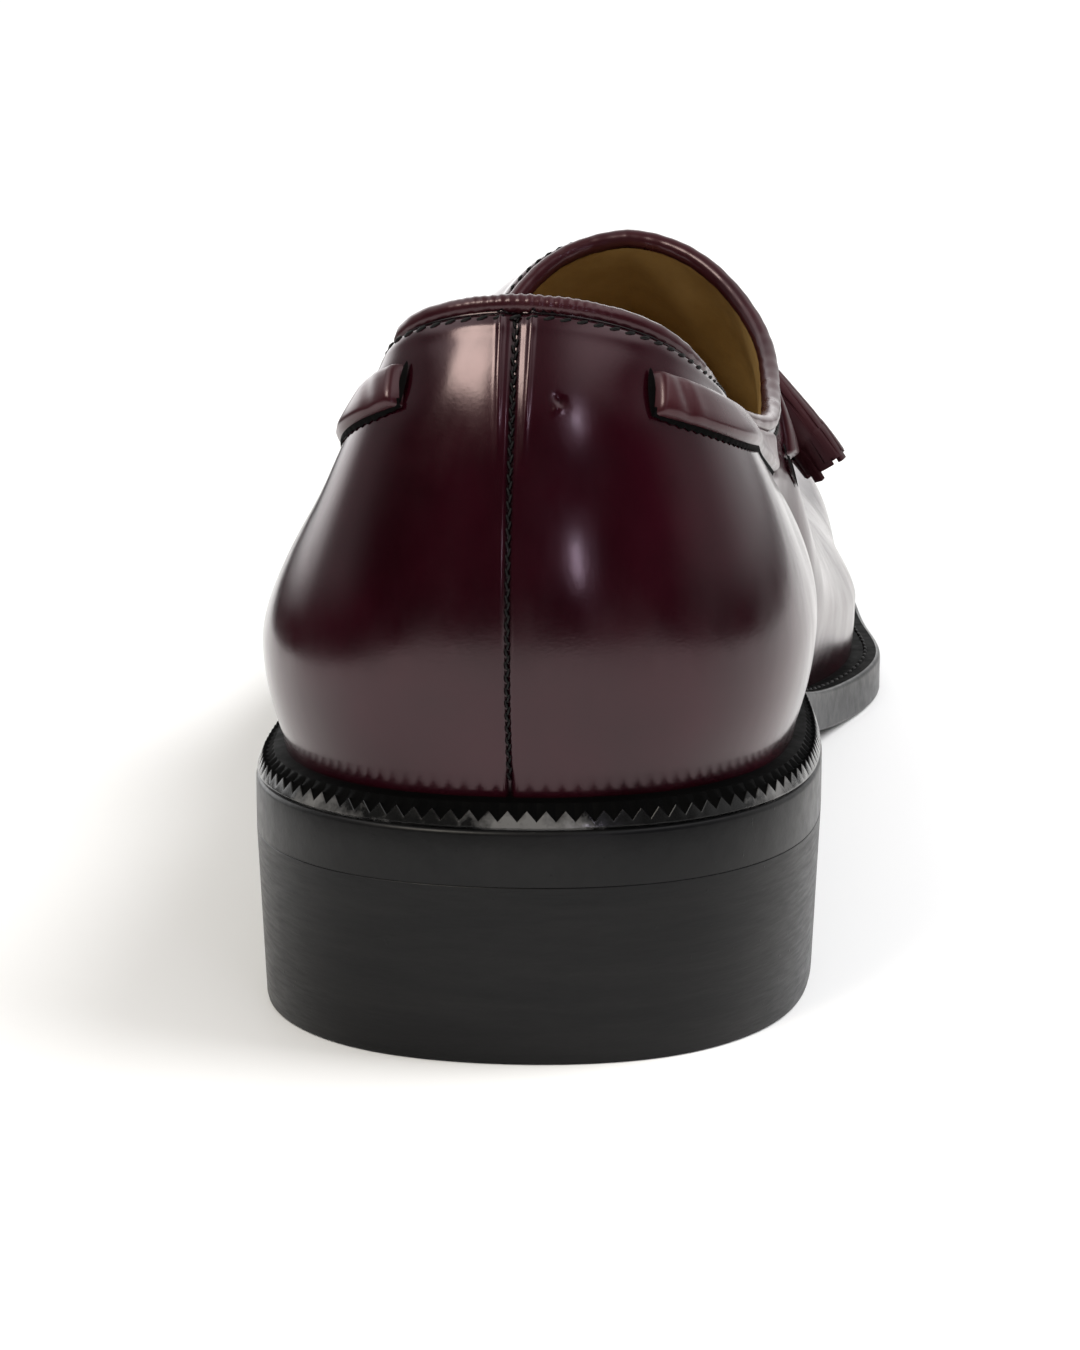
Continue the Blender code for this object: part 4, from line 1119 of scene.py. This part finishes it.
# Floor, light and camera

floor_look = bpy.data.materials.new("pale floor")
floor_look.use_nodes = True
shade = floor_look.node_tree.nodes["Principled BSDF"]
shade.inputs["Base Color"].default_value = (0.90, 0.90, 0.90, 1)
shade.inputs["Roughness"].default_value = 0.7
shade.inputs["Specular IOR Level"].default_value = 0.2
bpy.ops.mesh.primitive_plane_add(size=1, location=(0.105, 1.30, 0))
ground = bpy.context.object
ground.name = "floor"
ground.scale = (0.75, 3.44, 1)
ground.data.materials.append(floor_look)

# The room: white where it is seen and where it lights the floor. What the gloss mirrors is
# dark below and behind the camera and brightens on both sides towards the toe. A window stands
# ahead on the left, and the ceiling is bright but for a dim strip in its middle.
world = bpy.data.worlds.new("studio")
bpy.context.scene.world = world
world.use_nodes = True
nodes, links = world.node_tree.nodes, world.node_tree.links
nodes.clear()


def math(kind, *values):
    node = nodes.new("ShaderNodeMath")
    node.operation = kind
    for socket, value in zip(node.inputs, values):
        if isinstance(value, (int, float)):
            socket.default_value = value
        else:
            links.new(value, socket)
    return node.outputs[0]


def smooth(source, low, high, start, end):
    return ramp(world.node_tree, source, low, high, start, end, "SMOOTHSTEP")


toward = nodes.new("ShaderNodeSeparateXYZ")
links.new(nodes.new("ShaderNodeTexCoord").outputs["Generated"], toward.inputs["Vector"])
x, y, z = toward.outputs
sides = math("ADD", smooth(y, -0.50, 0.0, 0.0, 0.5), smooth(y, 0.10, 0.60, 0.0, 0.6))
window = smooth(math("ADD", y, math("MULTIPLY", x, -0.5)), 0.75, 1.05, 0.0, 2.2)
around = math("ADD", sides, window)
off_middle = smooth(math("ABSOLUTE", x), 0.12, 0.45, 0.1, 1.0)
ceiling = math("MULTIPLY", smooth(z, 0.52, 0.80, 0.0, 2.0), off_middle)
level = smooth(z, -0.06, 0.08, 0.0, 1.0)
glow = math("MULTIPLY", math("MAXIMUM", around, ceiling), level)
studio = nodes.new("ShaderNodeBackground")
links.new(glow, studio.inputs["Strength"])
plain = nodes.new("ShaderNodeBackground")
plain.inputs["Color"].default_value = (1, 1, 1, 1)
seen = nodes.new("ShaderNodeLightPath")
whiter = math("MULTIPLY", seen.outputs["Is Camera Ray"], 0.42)
links.new(math("ADD", whiter, 0.66), plain.inputs["Strength"])
pick = nodes.new("ShaderNodeMixShader")
result = nodes.new("ShaderNodeOutputWorld")
links.new(seen.outputs["Is Glossy Ray"], pick.inputs["Fac"])
links.new(plain.outputs["Background"], pick.inputs[1])
links.new(studio.outputs["Background"], pick.inputs[2])
links.new(pick.outputs["Shader"], result.inputs["Surface"])


def lamp(name, place, target, size, power, colour=(1, 1, 1)):
    light = bpy.data.lights.new(name, "AREA")
    light.shape = "RECTANGLE"
    light.size, light.size_y = size
    light.energy = power
    light.color = colour
    thing = bpy.data.objects.new(name, light)
    thing.location = place
    thing.rotation_euler = (Vector(target) - Vector(place)).to_track_quat("-Z", "Y").to_euler()
    bpy.context.scene.collection.objects.link(thing)
    return thing


lamp("left window", (-0.54, -0.74, 1.02), (0, 0.0, 0.07), (0.46, 0.36), 7.5, (1, 0.93, 0.80))
lamp("bulb", (0.36, -0.95, 0.22), (0, 0, 0.06), (0.02, 0.10), 0.30, (0.86, 0.80, 1))
lamp("upper bulb", (0.36, -0.76, 0.62), (0, 0, 0.06), (0.05, 0.03), 0.20, (0.86, 0.80, 1))

# The key lamp is a wide sun, which lights all of the floor alike and isn't mirrored
key = lamp("key", (0.80, 0.25, 0.85), (0, 0, 0), (1, 1), 1)
key.data.type = "SUN"
key.data.energy = 2.8
key.data.angle = np.radians(50)
key.visible_glossy = False

bpy.context.scene.view_settings.view_transform = "Standard"

camera_data = bpy.data.cameras.new("camera")
camera_data.lens = 90.85
camera_data.sensor_width = 36
camera = bpy.data.objects.new("camera", camera_data)
spot = Vector((0.0371, -0.4001, 0.124))
aim = Vector((-0.0883, 0.9743, -0.2071))
camera.location = spot
camera.rotation_euler = aim.to_track_quat("-Z", "Y").to_euler()
bpy.context.scene.collection.objects.link(camera)
bpy.context.scene.camera = camera
